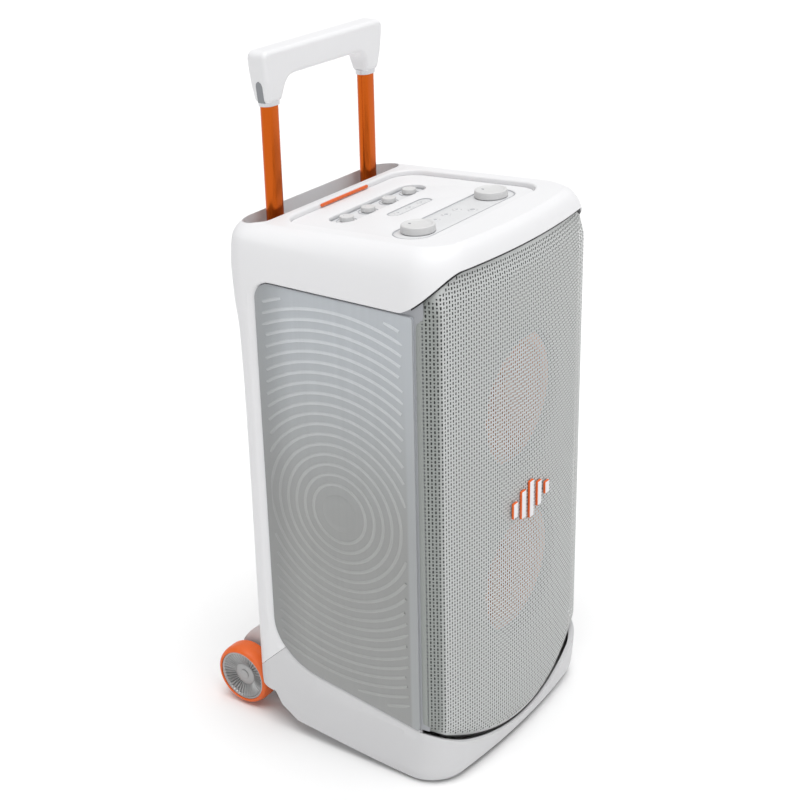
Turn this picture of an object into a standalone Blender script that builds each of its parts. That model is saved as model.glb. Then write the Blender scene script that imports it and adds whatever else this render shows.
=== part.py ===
"""Party speaker: a wheeled cabinet with side light panels, a control deck and a pull-up handle.

Metres, +Z up, front towards -Y. The origin is on the floor below the middle of the speaker.
"""

import math

import bmesh
import bpy
from mathutils import Matrix, Vector

# ---- driving dimensions -------------------------------------------------------------------

GAP = 0.0003                 # clearance kept between touching pieces
WALL = 0.0035                # moulded wall thickness

HALF_WIDTH = 0.1665
FRONT_APEX_Y = -0.1855       # foremost point of the bowed front
FRONT_BOW_R = 0.92
FRONT_CORNER_R = 0.049
REAR_Y = 0.1175
REAR_CORNER_R = 0.030

# hood rings: height, side inset, front inset, rear plane
HOOD_OUTER = (
    (0.060, 0.000, 0.000, 0.1175),
    (0.530, 0.000, 0.000, 0.1175),
    (0.565, 0.000, 0.000, 0.1220),
    (0.600, 0.000, 0.000, 0.1240),
    (0.630, 0.003, 0.002, 0.1245),
    (0.648, 0.009, 0.005, 0.1240),
    (0.660, 0.018, 0.010, 0.1225),
    (0.667, 0.029, 0.018, 0.1195),
)
HOOD_INNER = (
    (0.050, WALL, WALL, 0.1140),
    (0.528, WALL, WALL, 0.1140),
    (0.565, WALL, WALL, 0.1185),
    (0.600, WALL, WALL, 0.1205),
    (0.628, 0.0075, 0.0060, 0.1205),
    (0.642, 0.0150, 0.0110, 0.1200),
)
TOP_TILT_START_Z = 0.640     # above this height the hood leans down to the rear
TOP_SLOPE = 0.05             # fall of the top towards the rear
TOP_PIVOT_Y = -0.15

WINDOW_FRONT_Y = -0.1367     # side light window
WINDOW_REAR_Y = 0.0779
WINDOW_TOP_Z = 0.5975
WINDOW_FRONT_SILL_Z = 0.0757
WINDOW_SILL_SLOPE = 0.15
WINDOW_SILL_END_Y = 0.040
WINDOW_CORNER_R = 0.022
WINDOW_LOW_CORNER_R = 0.040
GRILLE_SIDE_Y = -0.1422      # where the grille ends on each side, before its border is drawn in
SEAM_Y, SEAM_Z = 0.0624, 0.1227
SEAM_SLOPE = -0.97

HOOD_FRONT_Z = 0.641         # hood's lower edge across the front
SWOOP_START_X = 0.138        # from here to the side it sweeps down to the window's top
TRAY_FRONT_Z = 0.026         # tray's lip at the middle of the front
TRAY_CORNER_RISE = 0.0497

RECESS = (-0.122, -0.128, 0.122, 0.0725)
DECK_TOP_Z = 0.6605          # at the pivot of the top's slope
DECK_THICK = 0.004
TROUGH_HALF_X = 0.140
TROUGH_Y = (0.0838, 0.1198)
TROUGH_FLOOR_Z = 0.600
TUB_WALL = 0.0033

TUBE_X, TUBE_Y = 0.0905, 0.1028
TUBE_HALF_X, TUBE_HALF_Y = 0.0115, 0.0078
TUBE_WALL = 0.0014
TUBE_Z = (0.300, 0.7945)
SLEEVE_Z = (0.102, 0.592)
COLLAR_Z = (0.7757, 0.7792)
GRIP_TOP_Z = 0.838
GRIP_BAR_LOW_Z = 0.806
GRIP_HALF_X = 0.1105
GRIP_HALF_DEPTH = 0.0135

WHEEL_Y, WHEEL_Z = 0.1476, 0.0430
TYRE_R, RIM_R = 0.0405, 0.0333
WHEEL_OUTER_X = 0.155
TYRE_WIDTH = 0.026
AXLE_R = 0.004
WELL_R = 0.0445
TAIL_HALF_X = 0.1235

WOOFER_Z = (0.2277, 0.4500)
WOOFER_R = 0.0825
CONE_R = 0.0625
TWEETER_X, TWEETER_Z, TWEETER_R = 0.078, 0.580, 0.030
BAFFLE_Y = (-0.1550, -0.1460)
BOX_HALF_X, BOX_REAR_Y = 0.145, 0.078
BOX_Z = (0.112, 0.618)
BOX_WALL = 0.009

LARGE_KNOB_X, LARGE_KNOB_Y, LARGE_KNOB_R = 0.0746, -0.0835, 0.0195
SMALL_KNOB_Y, SMALL_KNOB_R = 0.0226, 0.0086
SMALL_KNOB_XS = (-0.0618, -0.0206, 0.0206, 0.0618)
PILL_REAR = (0.0226, 0.0840, 0.0165)      # centre y, half length, half width
PILL_SMALL = (-0.0210, 0.0390, 0.0085)
PILL_LARGE = (-0.0835, 0.1060, 0.0240)
SMALL_KEY_XS = (-0.0230, 0.0, 0.0230)
LARGE_KEYS = ((-0.030, -0.076), (-0.008, -0.076), (0.014, -0.076), (0.020, -0.093))

ROUND_STEPS = 18

# ---- materials ----------------------------------------------------------------------------

FINISHES = {
    "white_plastic": ((0.86, 0.86, 0.88), 0.45, 0.0),
    "light_lens": ((0.66, 0.68, 0.70), 0.30, 0.0),
    "pale_grille": ((0.62, 0.65, 0.64), 0.45, 0.3),
    "black_rubber": ((0.03, 0.03, 0.035), 0.70, 0.0),
    "dark_plastic": ((0.09, 0.09, 0.10), 0.55, 0.0),
    "grey_plastic": ((0.55, 0.56, 0.58), 0.50, 0.0),
    "pale_fascia": ((0.78, 0.79, 0.80), 0.35, 0.0),
    "orange_anodised": ((0.75, 0.20, 0.05), 0.30, 0.9),
    "orange_rubber": ((0.85, 0.20, 0.03), 0.55, 0.0),
    "orange_cone": ((0.90, 0.35, 0.12), 0.50, 0.0),
    "satin_metal": ((0.72, 0.72, 0.74), 0.35, 0.9),
    "steel": ((0.55, 0.55, 0.57), 0.40, 1.0),
    "board_green": ((0.05, 0.25, 0.12), 0.50, 0.0),
    "cabinet_board": ((0.20, 0.19, 0.18), 0.80, 0.0),
}


def clear_scene():
    for item in list(bpy.data.objects):
        bpy.data.objects.remove(item)


def make_collection(name):
    made = bpy.data.collections.new(name)
    bpy.context.scene.collection.children.link(made)
    return made


def make_materials():
    made = {}
    for name, (colour, roughness, metallic) in FINISHES.items():
        material = bpy.data.materials.new(name)
        material.use_nodes = True
        shader = material.node_tree.nodes["Principled BSDF"]
        shader.inputs["Base Color"].default_value = (*colour, 1.0)
        shader.inputs["Roughness"].default_value = roughness
        shader.inputs["Metallic"].default_value = metallic
        made[name] = material
    return made


clear_scene()
PARTS = make_collection("party_speaker")
CUTTERS = make_collection("cutters")
MATERIALS = make_materials()


# ---- outlines -----------------------------------------------------------------------------

def arc(centre_u, centre_v, radius, start, end, steps):
    """Points on an arc, both ends included; angles in degrees."""
    points = []
    for i in range(steps + 1):
        angle = math.radians(start + (end - start) * i / steps)
        points.append((centre_u + radius * math.cos(angle), centre_v + radius * math.sin(angle)))
    return points


def rounded(corners, steps=4):
    """Rounds a polygon whose corners are (u, v, radius), in either turning direction."""
    points = []
    for i, (u, v, radius) in enumerate(corners):
        here = Vector((u, v))
        if radius == 0:
            points.append((u, v))
            continue
        before = (Vector(corners[i - 1][:2]) - here).normalized()
        after = (Vector(corners[(i + 1) % len(corners)][:2]) - here).normalized()
        half = before.angle(after) / 2
        reach = radius / math.tan(half)
        centre = here + (before + after).normalized() * (radius / math.sin(half))
        first = here + before * reach - centre
        last = here + after * reach - centre
        turn = first.angle_signed(last)
        for k in range(steps + 1):
            points.append(tuple(centre + Matrix.Rotation(-turn * k / steps, 2) @ first))
    return points


def slab(left, low, right, high, radius, steps=4):
    """Rounded rectangle outline."""
    return rounded(((left, low, radius), (right, low, radius), (right, high, radius),
                    (left, high, radius)), steps)


def pill(centre_y, half_length, half_width, grow=0.0, steps=8):
    """Stadium outline lying along X."""
    radius = half_width + grow
    straight = half_length - half_width
    return (arc(straight, centre_y, radius, -90, 90, steps)
            + arc(-straight, centre_y, radius, 90, 270, steps))


def stadium(centre_x, centre_y, half_x, half_y, grow=0.0, steps=6):
    """Stadium outline round any centre, longer along X."""
    return [(u + centre_x, v) for u, v in pill(centre_y, half_x, half_y, grow, steps)]


def oval(centre_x, centre_y, radius, steps=ROUND_STEPS):
    return arc(centre_x, centre_y, radius, 0, 360 - 360 / steps, steps - 1)


def plan_base():
    """Cabinet outline from above, counter-clockwise from the left end of the bowed front."""
    corner_x = HALF_WIDTH - FRONT_CORNER_R
    bow_centre_y = FRONT_APEX_Y + FRONT_BOW_R
    reach = FRONT_BOW_R - FRONT_CORNER_R
    corner_y = bow_centre_y - math.sqrt(reach ** 2 - corner_x ** 2)
    lean = math.degrees(math.asin(corner_x / reach))
    rear_x, rear_y = HALF_WIDTH - REAR_CORNER_R, REAR_Y - REAR_CORNER_R
    outline = arc(0, bow_centre_y, FRONT_BOW_R, 270 - lean, 270 + lean, 6)
    outline += arc(corner_x, corner_y, FRONT_CORNER_R, 270 + lean, 360, 6)[1:]
    outline += arc(rear_x, rear_y, REAR_CORNER_R, 0, 90, 4)
    outline += arc(-rear_x, rear_y, REAR_CORNER_R, 90, 180, 4)
    outline += arc(-corner_x, corner_y, FRONT_CORNER_R, 180, 270 - lean, 6)[:-1]
    return outline


PLAN = plan_base()


def plan(side, front, rear):
    """The cabinet outline drawn in at the sides and front, with its rear plane moved."""
    across = (HALF_WIDTH - side) / HALF_WIDTH
    ahead = (FRONT_APEX_Y + front) / FRONT_APEX_Y
    behind = rear / REAR_Y
    return [(x * across, y * (ahead if y < 0 else behind)) for x, y in PLAN]


def top_drop(y):
    return TOP_SLOPE * (y - TOP_PIVOT_Y)


def deck_z(y):
    """Height of the control deck's surface."""
    return DECK_TOP_Z - top_drop(y)


def hood_ring(height, side, front, rear):
    share = max(0.0, min(1.0, (height - TOP_TILT_START_Z) / (0.667 - TOP_TILT_START_Z)))
    return [(x, y, height - share * top_drop(y)) for x, y in plan(side, front, rear)]


def flat_ring(height, side, front, rear):
    return [(x, y, height) for x, y in plan(side, front, rear)]


def swept_edge(count=6):
    """Right half of the hood's lower front edge in (x, z): level, then swept down."""
    points = [(0.0, HOOD_FRONT_Z)]
    for i in range(count + 1):
        t = i / count
        points.append((SWOOP_START_X + (HALF_WIDTH + 0.004 - SWOOP_START_X) * t,
                       HOOD_FRONT_Z - (HOOD_FRONT_Z - WINDOW_TOP_Z + 0.002) * t * t * (3 - 2 * t)))
    return points


def lip_edge(count=8, reach=0.20):
    """Right half of the tray's upper front edge in (x, z), lowest in the middle."""
    return [(reach * i / count, TRAY_FRONT_Z + TRAY_CORNER_RISE * (reach * i / count
                                                                   / HALF_WIDTH) ** 2)
            for i in range(count + 1)]


SWEPT_EDGE = swept_edge()
LIP_EDGE = lip_edge()


def height_on(edge, x):
    """Height of a half edge at a distance from the middle."""
    for (x0, z0), (x1, z1) in zip(edge, edge[1:]):
        if abs(x) <= x1:
            return z0 + (z1 - z0) * (abs(x) - x0) / (x1 - x0)
    return edge[-1][1]


def mirrored(edge):
    """A half edge with its mirror image, from left to right."""
    return [(-x, z) for x, z in reversed(edge[1:])] + list(edge)


def sill(y):
    """Height of the light window's lower edge."""
    return WINDOW_FRONT_SILL_Z + WINDOW_SILL_SLOPE * (y - WINDOW_FRONT_Y)


def seam(y):
    """Height of the slanted joint between the rear column and the tray."""
    return SEAM_Z + SEAM_SLOPE * (y - SEAM_Y)


def window(inset):
    """Light window outline in (y, z), drawn in by the inset."""
    front, rear = WINDOW_FRONT_Y + inset, WINDOW_REAR_Y - inset
    end = sill(WINDOW_SILL_END_Y) + inset
    return rounded((
        (front, sill(front) + inset, 0.004),
        (WINDOW_SILL_END_Y, end, 0.040),
        (rear, end + 0.036, WINDOW_LOW_CORNER_R * 0.4),
        (rear, WINDOW_TOP_Z - inset, WINDOW_CORNER_R - inset),
        (front, WINDOW_TOP_Z - inset, 0.004),
    ), 5)


# ---- mesh builders ------------------------------------------------------------------------

def finish_mesh(name, mesh_data, finish, sharp_deg=35, cutter=False):
    bmesh.ops.recalc_face_normals(mesh_data, faces=mesh_data.faces)
    mesh = bpy.data.meshes.new(name)
    mesh_data.to_mesh(mesh)
    mesh_data.free()
    made = bpy.data.objects.new(name, mesh)
    if cutter:
        CUTTERS.objects.link(made)
        made.hide_render = True
        made.display_type = "WIRE"
        return made
    mesh.materials.append(MATERIALS[finish])
    mesh.shade_smooth()
    mesh.set_sharp_from_angle(angle=math.radians(sharp_deg))
    PARTS.objects.link(made)
    return made


def loft(name, rings, finish=None, closed=False, cutter=False):
    """Bridges rings of equal length; capped at both ends, or closed on itself like a tyre."""
    data = bmesh.new()
    loops = [[data.verts.new(point) for point in ring] for ring in rings]
    pairs = list(zip(loops, loops[1:] + loops[:1])) if closed else list(zip(loops, loops[1:]))
    for low, high in pairs:
        for i in range(len(low)):
            j = (i + 1) % len(low)
            data.faces.new((low[i], low[j], high[j], high[i]))
    if not closed:
        data.faces.new(list(reversed(loops[0])))
        data.faces.new(loops[-1])
    return finish_mesh(name, data, finish, cutter=cutter)


def prism(name, outline, axis, low, high, finish=None, cutter=False):
    """Extrudes a flat outline along an axis from low to high."""
    place = {
        "X": lambda u, v, w: (w, u, v),
        "Y": lambda u, v, w: (u, w, v),
        "Z": lambda u, v, w: (u, v, w),
    }[axis]
    data = bmesh.new()
    face = data.faces.new([data.verts.new(place(u, v, low)) for u, v in outline])
    grown = bmesh.ops.extrude_face_region(data, geom=[face])
    rise = Vector(place(0, 0, high)) - Vector(place(0, 0, low))
    moved = [item for item in grown["geom"] if isinstance(item, bmesh.types.BMVert)]
    bmesh.ops.translate(data, verts=moved, vec=rise)
    return finish_mesh(name, data, finish, cutter=cutter)


def block(name, low, high, finish=None, bevel=0.0, cutter=False):
    """Box between two corners, with bevelled edges where asked."""
    data = bmesh.new()
    bmesh.ops.create_cube(data, size=1.0)
    size = [b - a for a, b in zip(low, high)]
    centre = [(a + b) / 2 for a, b in zip(low, high)]
    bmesh.ops.scale(data, verts=data.verts, vec=size)
    bmesh.ops.translate(data, verts=data.verts, vec=centre)
    made = finish_mesh(name, data, finish, cutter=cutter)
    if bevel:
        add_bevel(made, bevel)
    return made


def rod(name, centre, axis, radius, length, finish=None, steps=ROUND_STEPS, cutter=False):
    """Plain cylinder centred on a point."""
    data = bmesh.new()
    bmesh.ops.create_cone(data, cap_ends=True, segments=steps, radius1=radius, radius2=radius,
                          depth=length)
    turn = Vector((0, 0, 1)).rotation_difference(Vector(axis)).to_matrix().to_4x4()
    bmesh.ops.transform(data, matrix=Matrix.Translation(centre) @ turn, verts=data.verts)
    return finish_mesh(name, data, finish, cutter=cutter)


def turned(name, profile, origin, axis, finish, steps=ROUND_STEPS):
    """Solid of revolution: a closed (radius, height) profile turned about an axis.

    The object's own origin lies on the axis, so a wheel or knob spins about it.
    """
    mesh = bpy.data.meshes.new(name)
    count = len(profile)
    area = sum(profile[i - 1][0] * profile[i][1] - profile[i][0] * profile[i - 1][1]
               for i in range(count))
    if area > 0:             # the outer side has to run downwards
        profile = profile[::-1]
    edges = [(i, (i + 1) % count) for i in range(count)]
    edges = [edge for edge in edges if any(profile[i][0] > 0 for i in edge)]
    mesh.from_pydata([(r, 0, h) for r, h in profile], edges, [])
    mesh.materials.append(MATERIALS[finish])
    made = bpy.data.objects.new(name, mesh)
    PARTS.objects.link(made)
    made.location = origin
    made.rotation_mode = "QUATERNION"
    made.rotation_quaternion = Vector((0, 0, 1)).rotation_difference(Vector(axis))
    screw = made.modifiers.new("turn", "SCREW")
    screw.axis = "Z"
    screw.steps = steps
    screw.render_steps = steps
    screw.use_merge_vertices = True
    screw.merge_threshold = 0.00002
    screw.use_smooth_shade = True
    return made


def add_bevel(made, width, segments=2):
    bevel = made.modifiers.new("edges", "BEVEL")
    bevel.width = width
    bevel.segments = segments
    bevel.limit_method = "ANGLE"
    bevel.angle_limit = math.radians(40)


def combine(made, others, operation="DIFFERENCE"):
    for other in others:
        boolean = made.modifiers.new(operation.lower(), "BOOLEAN")
        boolean.operation = operation
        boolean.object = other
    return made


def set_origin(made, point):
    """Moves an object's origin to a joint's axis without moving its shape."""
    made.data.transform(Matrix.Translation(-Vector(point)))
    made.location = point
    return made


# ---- shells -------------------------------------------------------------------------------

def below_hood_cutters():
    """What is taken away below the hood: the side windows and the swept front edge."""
    side = prism("cut_side", rounded((
        (-0.30, -0.10, 0), (WINDOW_REAR_Y, -0.10, 0),
        (WINDOW_REAR_Y, WINDOW_TOP_Z, WINDOW_CORNER_R), (-0.30, WINDOW_TOP_Z, 0))),
        "X", -0.2, 0.2, cutter=True)
    reach = HALF_WIDTH + 0.004
    outline = mirrored(SWEPT_EDGE) + [(reach, 0.02), (-reach, 0.02)]
    front = prism("cut_front", outline, "Y", -0.3, -0.127, cutter=True)
    return [side, front]


def wheel_wells(owner):
    """Room for both wheels, cut into the tray and the foot of the column."""
    return [rod(f"cut_well_{owner}_{side}", (sign * 0.175, WHEEL_Y, WHEEL_Z), (1, 0, 0), WELL_R,
                2 * (0.175 - TAIL_HALF_X), cutter=True)
            for side, sign in (("left", -1), ("right", 1))]


def build_hood():
    hood = loft("hood", [hood_ring(*ring) for ring in HOOD_OUTER], "white_plastic")
    inner = loft("cut_hood_inside", [flat_ring(*ring) for ring in HOOD_INNER], cutter=True)
    left, low, right, high = RECESS
    recess = prism("cut_recess", slab(left, low, right, high, 0.032, 5), "Z", 0.60, 0.70,
                   cutter=True)
    # the recess floor is parallel to the deck
    for vertex in recess.data.vertices:
        if vertex.co.z < 0.65:
            vertex.co.z = deck_z(vertex.co.y) - DECK_THICK - GAP
    opening = prism("cut_deck_opening", slab(-0.108, -0.114, 0.108, 0.058, 0.020), "Z", 0.62,
                    0.70, cutter=True)
    middle_y = sum(TROUGH_Y) / 2
    half_y = (TROUGH_Y[1] - TROUGH_Y[0]) / 2
    tub = prism("join_tub", stadium(0, middle_y, TROUGH_HALF_X, half_y, TUB_WALL), "Z", 0.5967,
                0.6455, cutter=True)
    trough = prism("cut_trough", stadium(0, middle_y, TROUGH_HALF_X, half_y), "Z",
                   TROUGH_FLOOR_Z, 0.70, cutter=True)
    tubes = [prism(f"cut_tube_hole_{side}", stadium(sign * TUBE_X, TUBE_Y, TUBE_HALF_X,
                                                    TUBE_HALF_Y, 0.0006), "Z", 0.55, 0.65,
                   cutter=True) for side, sign in (("left", -1), ("right", 1))]
    below_seam = prism("cut_below_seam", ((0.02, -0.1), (0.2, -0.1), (0.2, seam(0.2) + GAP),
                                          (0.02, seam(0.02) + GAP)), "X", -0.2, 0.2, cutter=True)
    rear = prism("cut_rear_opening", slab(-0.128, 0.135, 0.128, 0.585, 0.012), "Y", 0.085, 0.2,
                 cutter=True)
    combine(hood, [inner] + below_hood_cutters() + [below_seam, rear] + wheel_wells("hood"))
    combine(hood, [tub], "UNION")
    combine(hood, [recess, opening, trough] + tubes)
    return hood


def tray_floor(lift):
    """Rising underside of the tray in (y, z), raised by the lift."""
    return [(-0.25, 0.003 + lift), (-0.1225, 0.003 + lift), (0.048, 0.021 + lift),
            (0.0715, 0.036 + lift), (0.081, 0.052 + lift), (0.14, 0.058 + lift)]


def build_tray():
    rings = ((0.000, 0.010, 0.010), (0.004, 0.0055, 0.0055), (0.010, 0.002, 0.002),
             (0.020, 0.0, 0.0), (0.180, 0.0, 0.0))
    tray = loft("bottom_tray", [flat_ring(z, side, front, REAR_Y) for z, side, front in rings],
                "white_plastic")
    inside_rear = 0.096
    inner = loft("cut_tray_inside", [flat_ring(z, 0.006, 0.006, inside_rear)
                                     for z in (0.002, 0.2)], cutter=True)
    floor = prism("cut_tray_floor", tray_floor(WALL) + [(0.14, -0.05), (-0.25, -0.05)], "X",
                  -0.25, 0.25, cutter=True)
    combine(inner, [floor])
    underside = prism("cut_underside", tray_floor(0) + [(0.14, -0.05), (-0.25, -0.05)], "X",
                      -0.25, 0.25, cutter=True)
    corner = [point for point in window(0) if point[0] > WINDOW_SILL_END_Y - 0.02
              and point[1] < SEAM_Z]
    corner.sort()
    above_side = prism("cut_above_side", [(WINDOW_FRONT_Y, 0.30), (WINDOW_FRONT_Y,
                       sill(WINDOW_FRONT_Y))] + corner + [(SEAM_Y, SEAM_Z - GAP),
                       (0.2, seam(0.2) - GAP), (0.2, 0.30)], "X", -0.2, 0.2, cutter=True)
    above_front = prism("cut_above_front", mirrored(LIP_EDGE) + [(0.2, 0.30), (-0.2, 0.30)],
                        "Y", -0.30, WINDOW_FRONT_Y, cutter=True)
    tail = prism("join_tail", ((0.100, 0.060), (0.105, 0.068), (0.1178, 0.0688),
                               (0.1178, 0.120), (0.150, 0.098), (0.168, 0.076), (0.172, 0.052),
                               (0.166, 0.034), (0.150, 0.026), (0.118, 0.040),
                               (0.100, 0.0575)), "X", -TAIL_HALF_X, TAIL_HALF_X, cutter=True)
    bore = rod("cut_axle_bore", (0, WHEEL_Y, WHEEL_Z), (1, 0, 0), AXLE_R + GAP, 0.4, cutter=True)
    combine(tray, [inner, underside, above_side, above_front])
    combine(tray, [tail], "UNION")
    combine(tray, wheel_wells("tray") + [bore])
    return tray


def build_rear_panel():
    panel = prism("rear_panel", slab(-0.1275, 0.1355, 0.1275, 0.5845, 0.0115), "Y", 0.1142,
                  0.1172, "white_plastic")
    cuts = [
        prism("cut_battery_bay", slab(-0.0700, 0.1500, 0.0700, 0.2700, 0.006), "Y", 0.10, 0.13,
              cutter=True),
        prism("cut_socket_bay", slab(-0.0650, 0.3000, 0.0650, 0.3700, 0.008), "Y", 0.10, 0.13,
              cutter=True),
        prism("cut_port_mouth", oval(0, 0.450, 0.0365), "Y", 0.10, 0.13, cutter=True),
    ]
    return combine(panel, cuts)


def build_side_lights():
    for side, sign in (("left", -1), ("right", 1)):
        prism(f"light_panel_{side}", window(0.0006), "X", sign * 0.1605, sign * 0.1655,
              "light_lens")
        board = slab(-0.120, 0.125, 0.062, 0.575, 0.006, 2)
        prism(f"light_board_{side}", board, "X", sign * 0.1530, sign * 0.1546, "board_green")


# ---- front --------------------------------------------------------------------------------

def front_path():
    """The grille's run round the front, from the left side to the right side."""
    right = [(x, y) for x, y in PLAN if x > -0.0001 and y < GRILLE_SIDE_Y - 0.001]
    (x0, y0), (x1, y1) = right[-1], PLAN[PLAN.index(right[-1]) + 1]
    right.append((x0 + (x1 - x0) * (GRILLE_SIDE_Y - y0) / (y1 - y0), GRILLE_SIDE_Y))
    return [(-x, y) for x, y in reversed(right[1:])] + right


def build_grille():
    """Bent sheet whose border is drawn in, so that the face stands a little proud."""
    data = bmesh.new()
    rows = ((0.0, 0.0055), (0.006, 0.0030), (0.016, 0.0015))
    loops = []
    for x, y in front_path():
        low, high = height_on(LIP_EDGE, x) + 0.0042, height_on(SWEPT_EDGE, x) - 0.0054
        heights = [(low + up, inset) for up, inset in rows]
        heights += [(high - up, inset) for up, inset in reversed(rows)]
        column = []
        for z, inset in heights:
            across = (HALF_WIDTH - inset) / HALF_WIDTH
            ahead = (FRONT_APEX_Y + inset) / FRONT_APEX_Y
            column.append(data.verts.new((x * across, y * ahead, z)))
        loops.append(column)
    for left, right in zip(loops, loops[1:]):
        for i in range(len(left) - 1):
            data.faces.new((left[i], right[i], right[i + 1], left[i + 1]))
    grille = finish_mesh("front_grille", data, "pale_grille")
    middle = min(grille.data.polygons, key=lambda polygon: polygon.center.y)
    if middle.normal.y > 0:      # the sheet's outer face has to look outwards
        grille.data.flip_normals()
    sheet = grille.modifiers.new("sheet", "SOLIDIFY")
    sheet.thickness = 0.0014
    sheet.offset = -1.0
    sheet.use_even_offset = True
    return grille


def build_gasket():
    """Rubber loop that seals the grille to the hood and the tray, and runs behind its sides."""
    path = [Vector(point) for point in front_path()[1:-1]]
    width, depth = 0.0024, 0.0050
    insets = [0.0100] + [0.0025] * (len(path) - 2) + [0.0100]
    near = list(path)            # where the loop's inner edge runs
    near[0] = path[0] + (path[1] - path[0]).normalized() * width
    near[-1] = path[-1] + (path[-2] - path[-1]).normalized() * width

    def section(outer, inner, outer_z, inner_z, inset):
        return [(point.x * (HALF_WIDTH - back) / HALF_WIDTH,
                 point.y * (FRONT_APEX_Y + back) / FRONT_APEX_Y, z)
                for point, z, back in ((outer, outer_z, inset), (inner, inner_z, inset),
                                       (inner, inner_z, inset + depth),
                                       (outer, outer_z, inset + depth))]

    sections = []
    for outer, inner, inset in zip(path, near, insets):
        z = height_on(LIP_EDGE, outer.x) + 0.0008
        sections.append(section(outer, inner, z, z + width, inset))
    for outer, inner, inset in zip(reversed(path), reversed(near), insets):
        z = height_on(SWEPT_EDGE, outer.x) - 0.0012
        sections.append(section(outer, inner, z, z - width, inset))
    data = bmesh.new()
    loops = [[data.verts.new(point) for point in ring] for ring in sections]
    for here, after in zip(loops, loops[1:] + loops[:1]):
        for i in range(4):
            j = (i + 1) % 4
            data.faces.new((here[i], here[j], after[j], after[i]))
    bmesh.ops.triangulate(data, faces=data.faces)        # the loop's sides are slightly twisted
    return finish_mesh("grille_gasket", data, "black_rubber")


def build_badge():
    """Plain five-bar sound mark standing on the grille, its bars joined by a thin spine."""
    bars = ((-0.036, 0.010), (-0.018, 0.018), (0.0, 0.024), (0.018, 0.016), (0.036, 0.008))
    centre_z, half_bar, spine = 0.326, 0.0050, 0.0030
    outline_top, outline_low = [], []
    for x, half in bars:
        for edge_x, reach in ((x - half_bar, spine), (x - half_bar, half), (x + half_bar, half),
                              (x + half_bar, spine)):
            outline_top.append((edge_x, centre_z + reach))
            outline_low.append((edge_x, centre_z - reach))
    back = FRONT_APEX_Y + 0.0015 - GAP
    return prism("front_badge", outline_low + outline_top[::-1], "Y", back - 0.0032, back,
                 "white_plastic")


def build_baffle():
    baffle = block("baffle", (-BOX_HALF_X, BAFFLE_Y[0], BOX_Z[0]),
                   (BOX_HALF_X, BAFFLE_Y[1], BOX_Z[1]), "cabinet_board")
    cuts = [rod(f"cut_woofer_{i}", (0, BAFFLE_Y[0], z), (0, 1, 0), 0.0745, 0.06, cutter=True)
            for i, z in enumerate(WOOFER_Z)]
    cuts += [rod(f"cut_tweeter_{i}", (sign * TWEETER_X, BAFFLE_Y[0], TWEETER_Z), (0, 1, 0),
                 0.0245, 0.06, cutter=True) for i, sign in enumerate((-1, 1))]
    return combine(baffle, cuts)


def build_box():
    """Open-fronted sound box behind the baffle, with a hole for the bass port."""
    box = block("cabinet_box", (-BOX_HALF_X, BAFFLE_Y[1] + GAP, BOX_Z[0]),
                (BOX_HALF_X, BOX_REAR_Y, BOX_Z[1]), "cabinet_board")
    inside = block("cut_box_inside", (-BOX_HALF_X + BOX_WALL, -0.2, BOX_Z[0] + BOX_WALL),
                   (BOX_HALF_X - BOX_WALL, BOX_REAR_Y - BOX_WALL, BOX_Z[1] - BOX_WALL),
                   cutter=True)
    port = rod("cut_box_port", (0, BOX_REAR_Y, 0.450), (0, 1, 0), 0.0300 + GAP, 0.05,
               cutter=True)
    return combine(box, [inside, port])


def build_woofers():
    for name, z in zip(("lower", "upper"), WOOFER_Z):
        face = BAFFLE_Y[0] - GAP
        basket = ((0.0735, 0.0), (WOOFER_R, 0.0), (WOOFER_R, 0.0035), (0.0715, 0.0035),
                  (0.0380, -0.042), (0.0, -0.046), (0.0, -0.070), (0.0440, -0.070),
                  (0.0440, -0.046))
        turned(f"woofer_basket_{name}", basket, (0, face, z), (0, -1, 0), "dark_plastic")
        cone = ((0.0, -0.012), (0.020, -0.015), (0.0235, -0.022), (CONE_R, -0.0045),
                (0.0670, 0.0008), (0.0732, 0.0), (0.0732, 0.0020), (0.0680, 0.0033),
                (CONE_R - 0.001, -0.0020), (0.0235, -0.0195), (0.0195, -0.012), (0.0, -0.0095))
        turned(f"woofer_cone_{name}", cone, (0, face - 0.0042, z), (0, -1, 0), "orange_cone")


def build_tweeters():
    for side, sign in (("left", -1), ("right", 1)):
        profile = ((0.0, -0.022), (0.0235, -0.022), (0.0235, 0.0), (TWEETER_R, 0.0),
                   (TWEETER_R, 0.0028), (0.0240, 0.0024), (0.0130, -0.0050), (0.0120, -0.0050),
                   (0.0075, -0.0015), (0.0, 0.0))
        turned(f"tweeter_{side}", profile, (sign * TWEETER_X, BAFFLE_Y[0] - GAP, TWEETER_Z),
               (0, -1, 0), "dark_plastic")


# ---- inside and rear ----------------------------------------------------------------------

def build_port():
    profile = ((0.0272, -0.105), (0.0296, -0.105), (0.0296, -0.006), (0.0362, -0.0006),
               (0.0362, 0.0012), (0.0335, 0.0012), (0.0272, -0.006))
    return turned("bass_port", profile, (0, 0.1160, 0.450), (0, 1, 0), "dark_plastic")


def build_electronics():
    fins = [(-0.060, 0.0830), (0.060, 0.0830)]
    count, pitch = 9, 0.0133
    for i in range(count):
        x = 0.0532 - i * pitch
        fins += [(x + 0.0035, 0.0900), (x + 0.0022, 0.1085), (x - 0.0022, 0.1085),
                 (x - 0.0035, 0.0900)]
    prism("amplifier", fins[:2] + [(0.060, 0.0900)] + fins[2:] + [(-0.060, 0.0900)], "Z",
          0.505, 0.572, "satin_metal")
    board = prism("main_board", slab(-0.1000, -0.1060, 0.1000, 0.0500, 0.004, 2), "Z", 0.6300,
                  0.6316, "board_green")
    block("battery_pack", (-0.0640, 0.0830, 0.1545), (0.0640, 0.1080, 0.2650), "dark_plastic",
          0.003)
    return board


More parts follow.
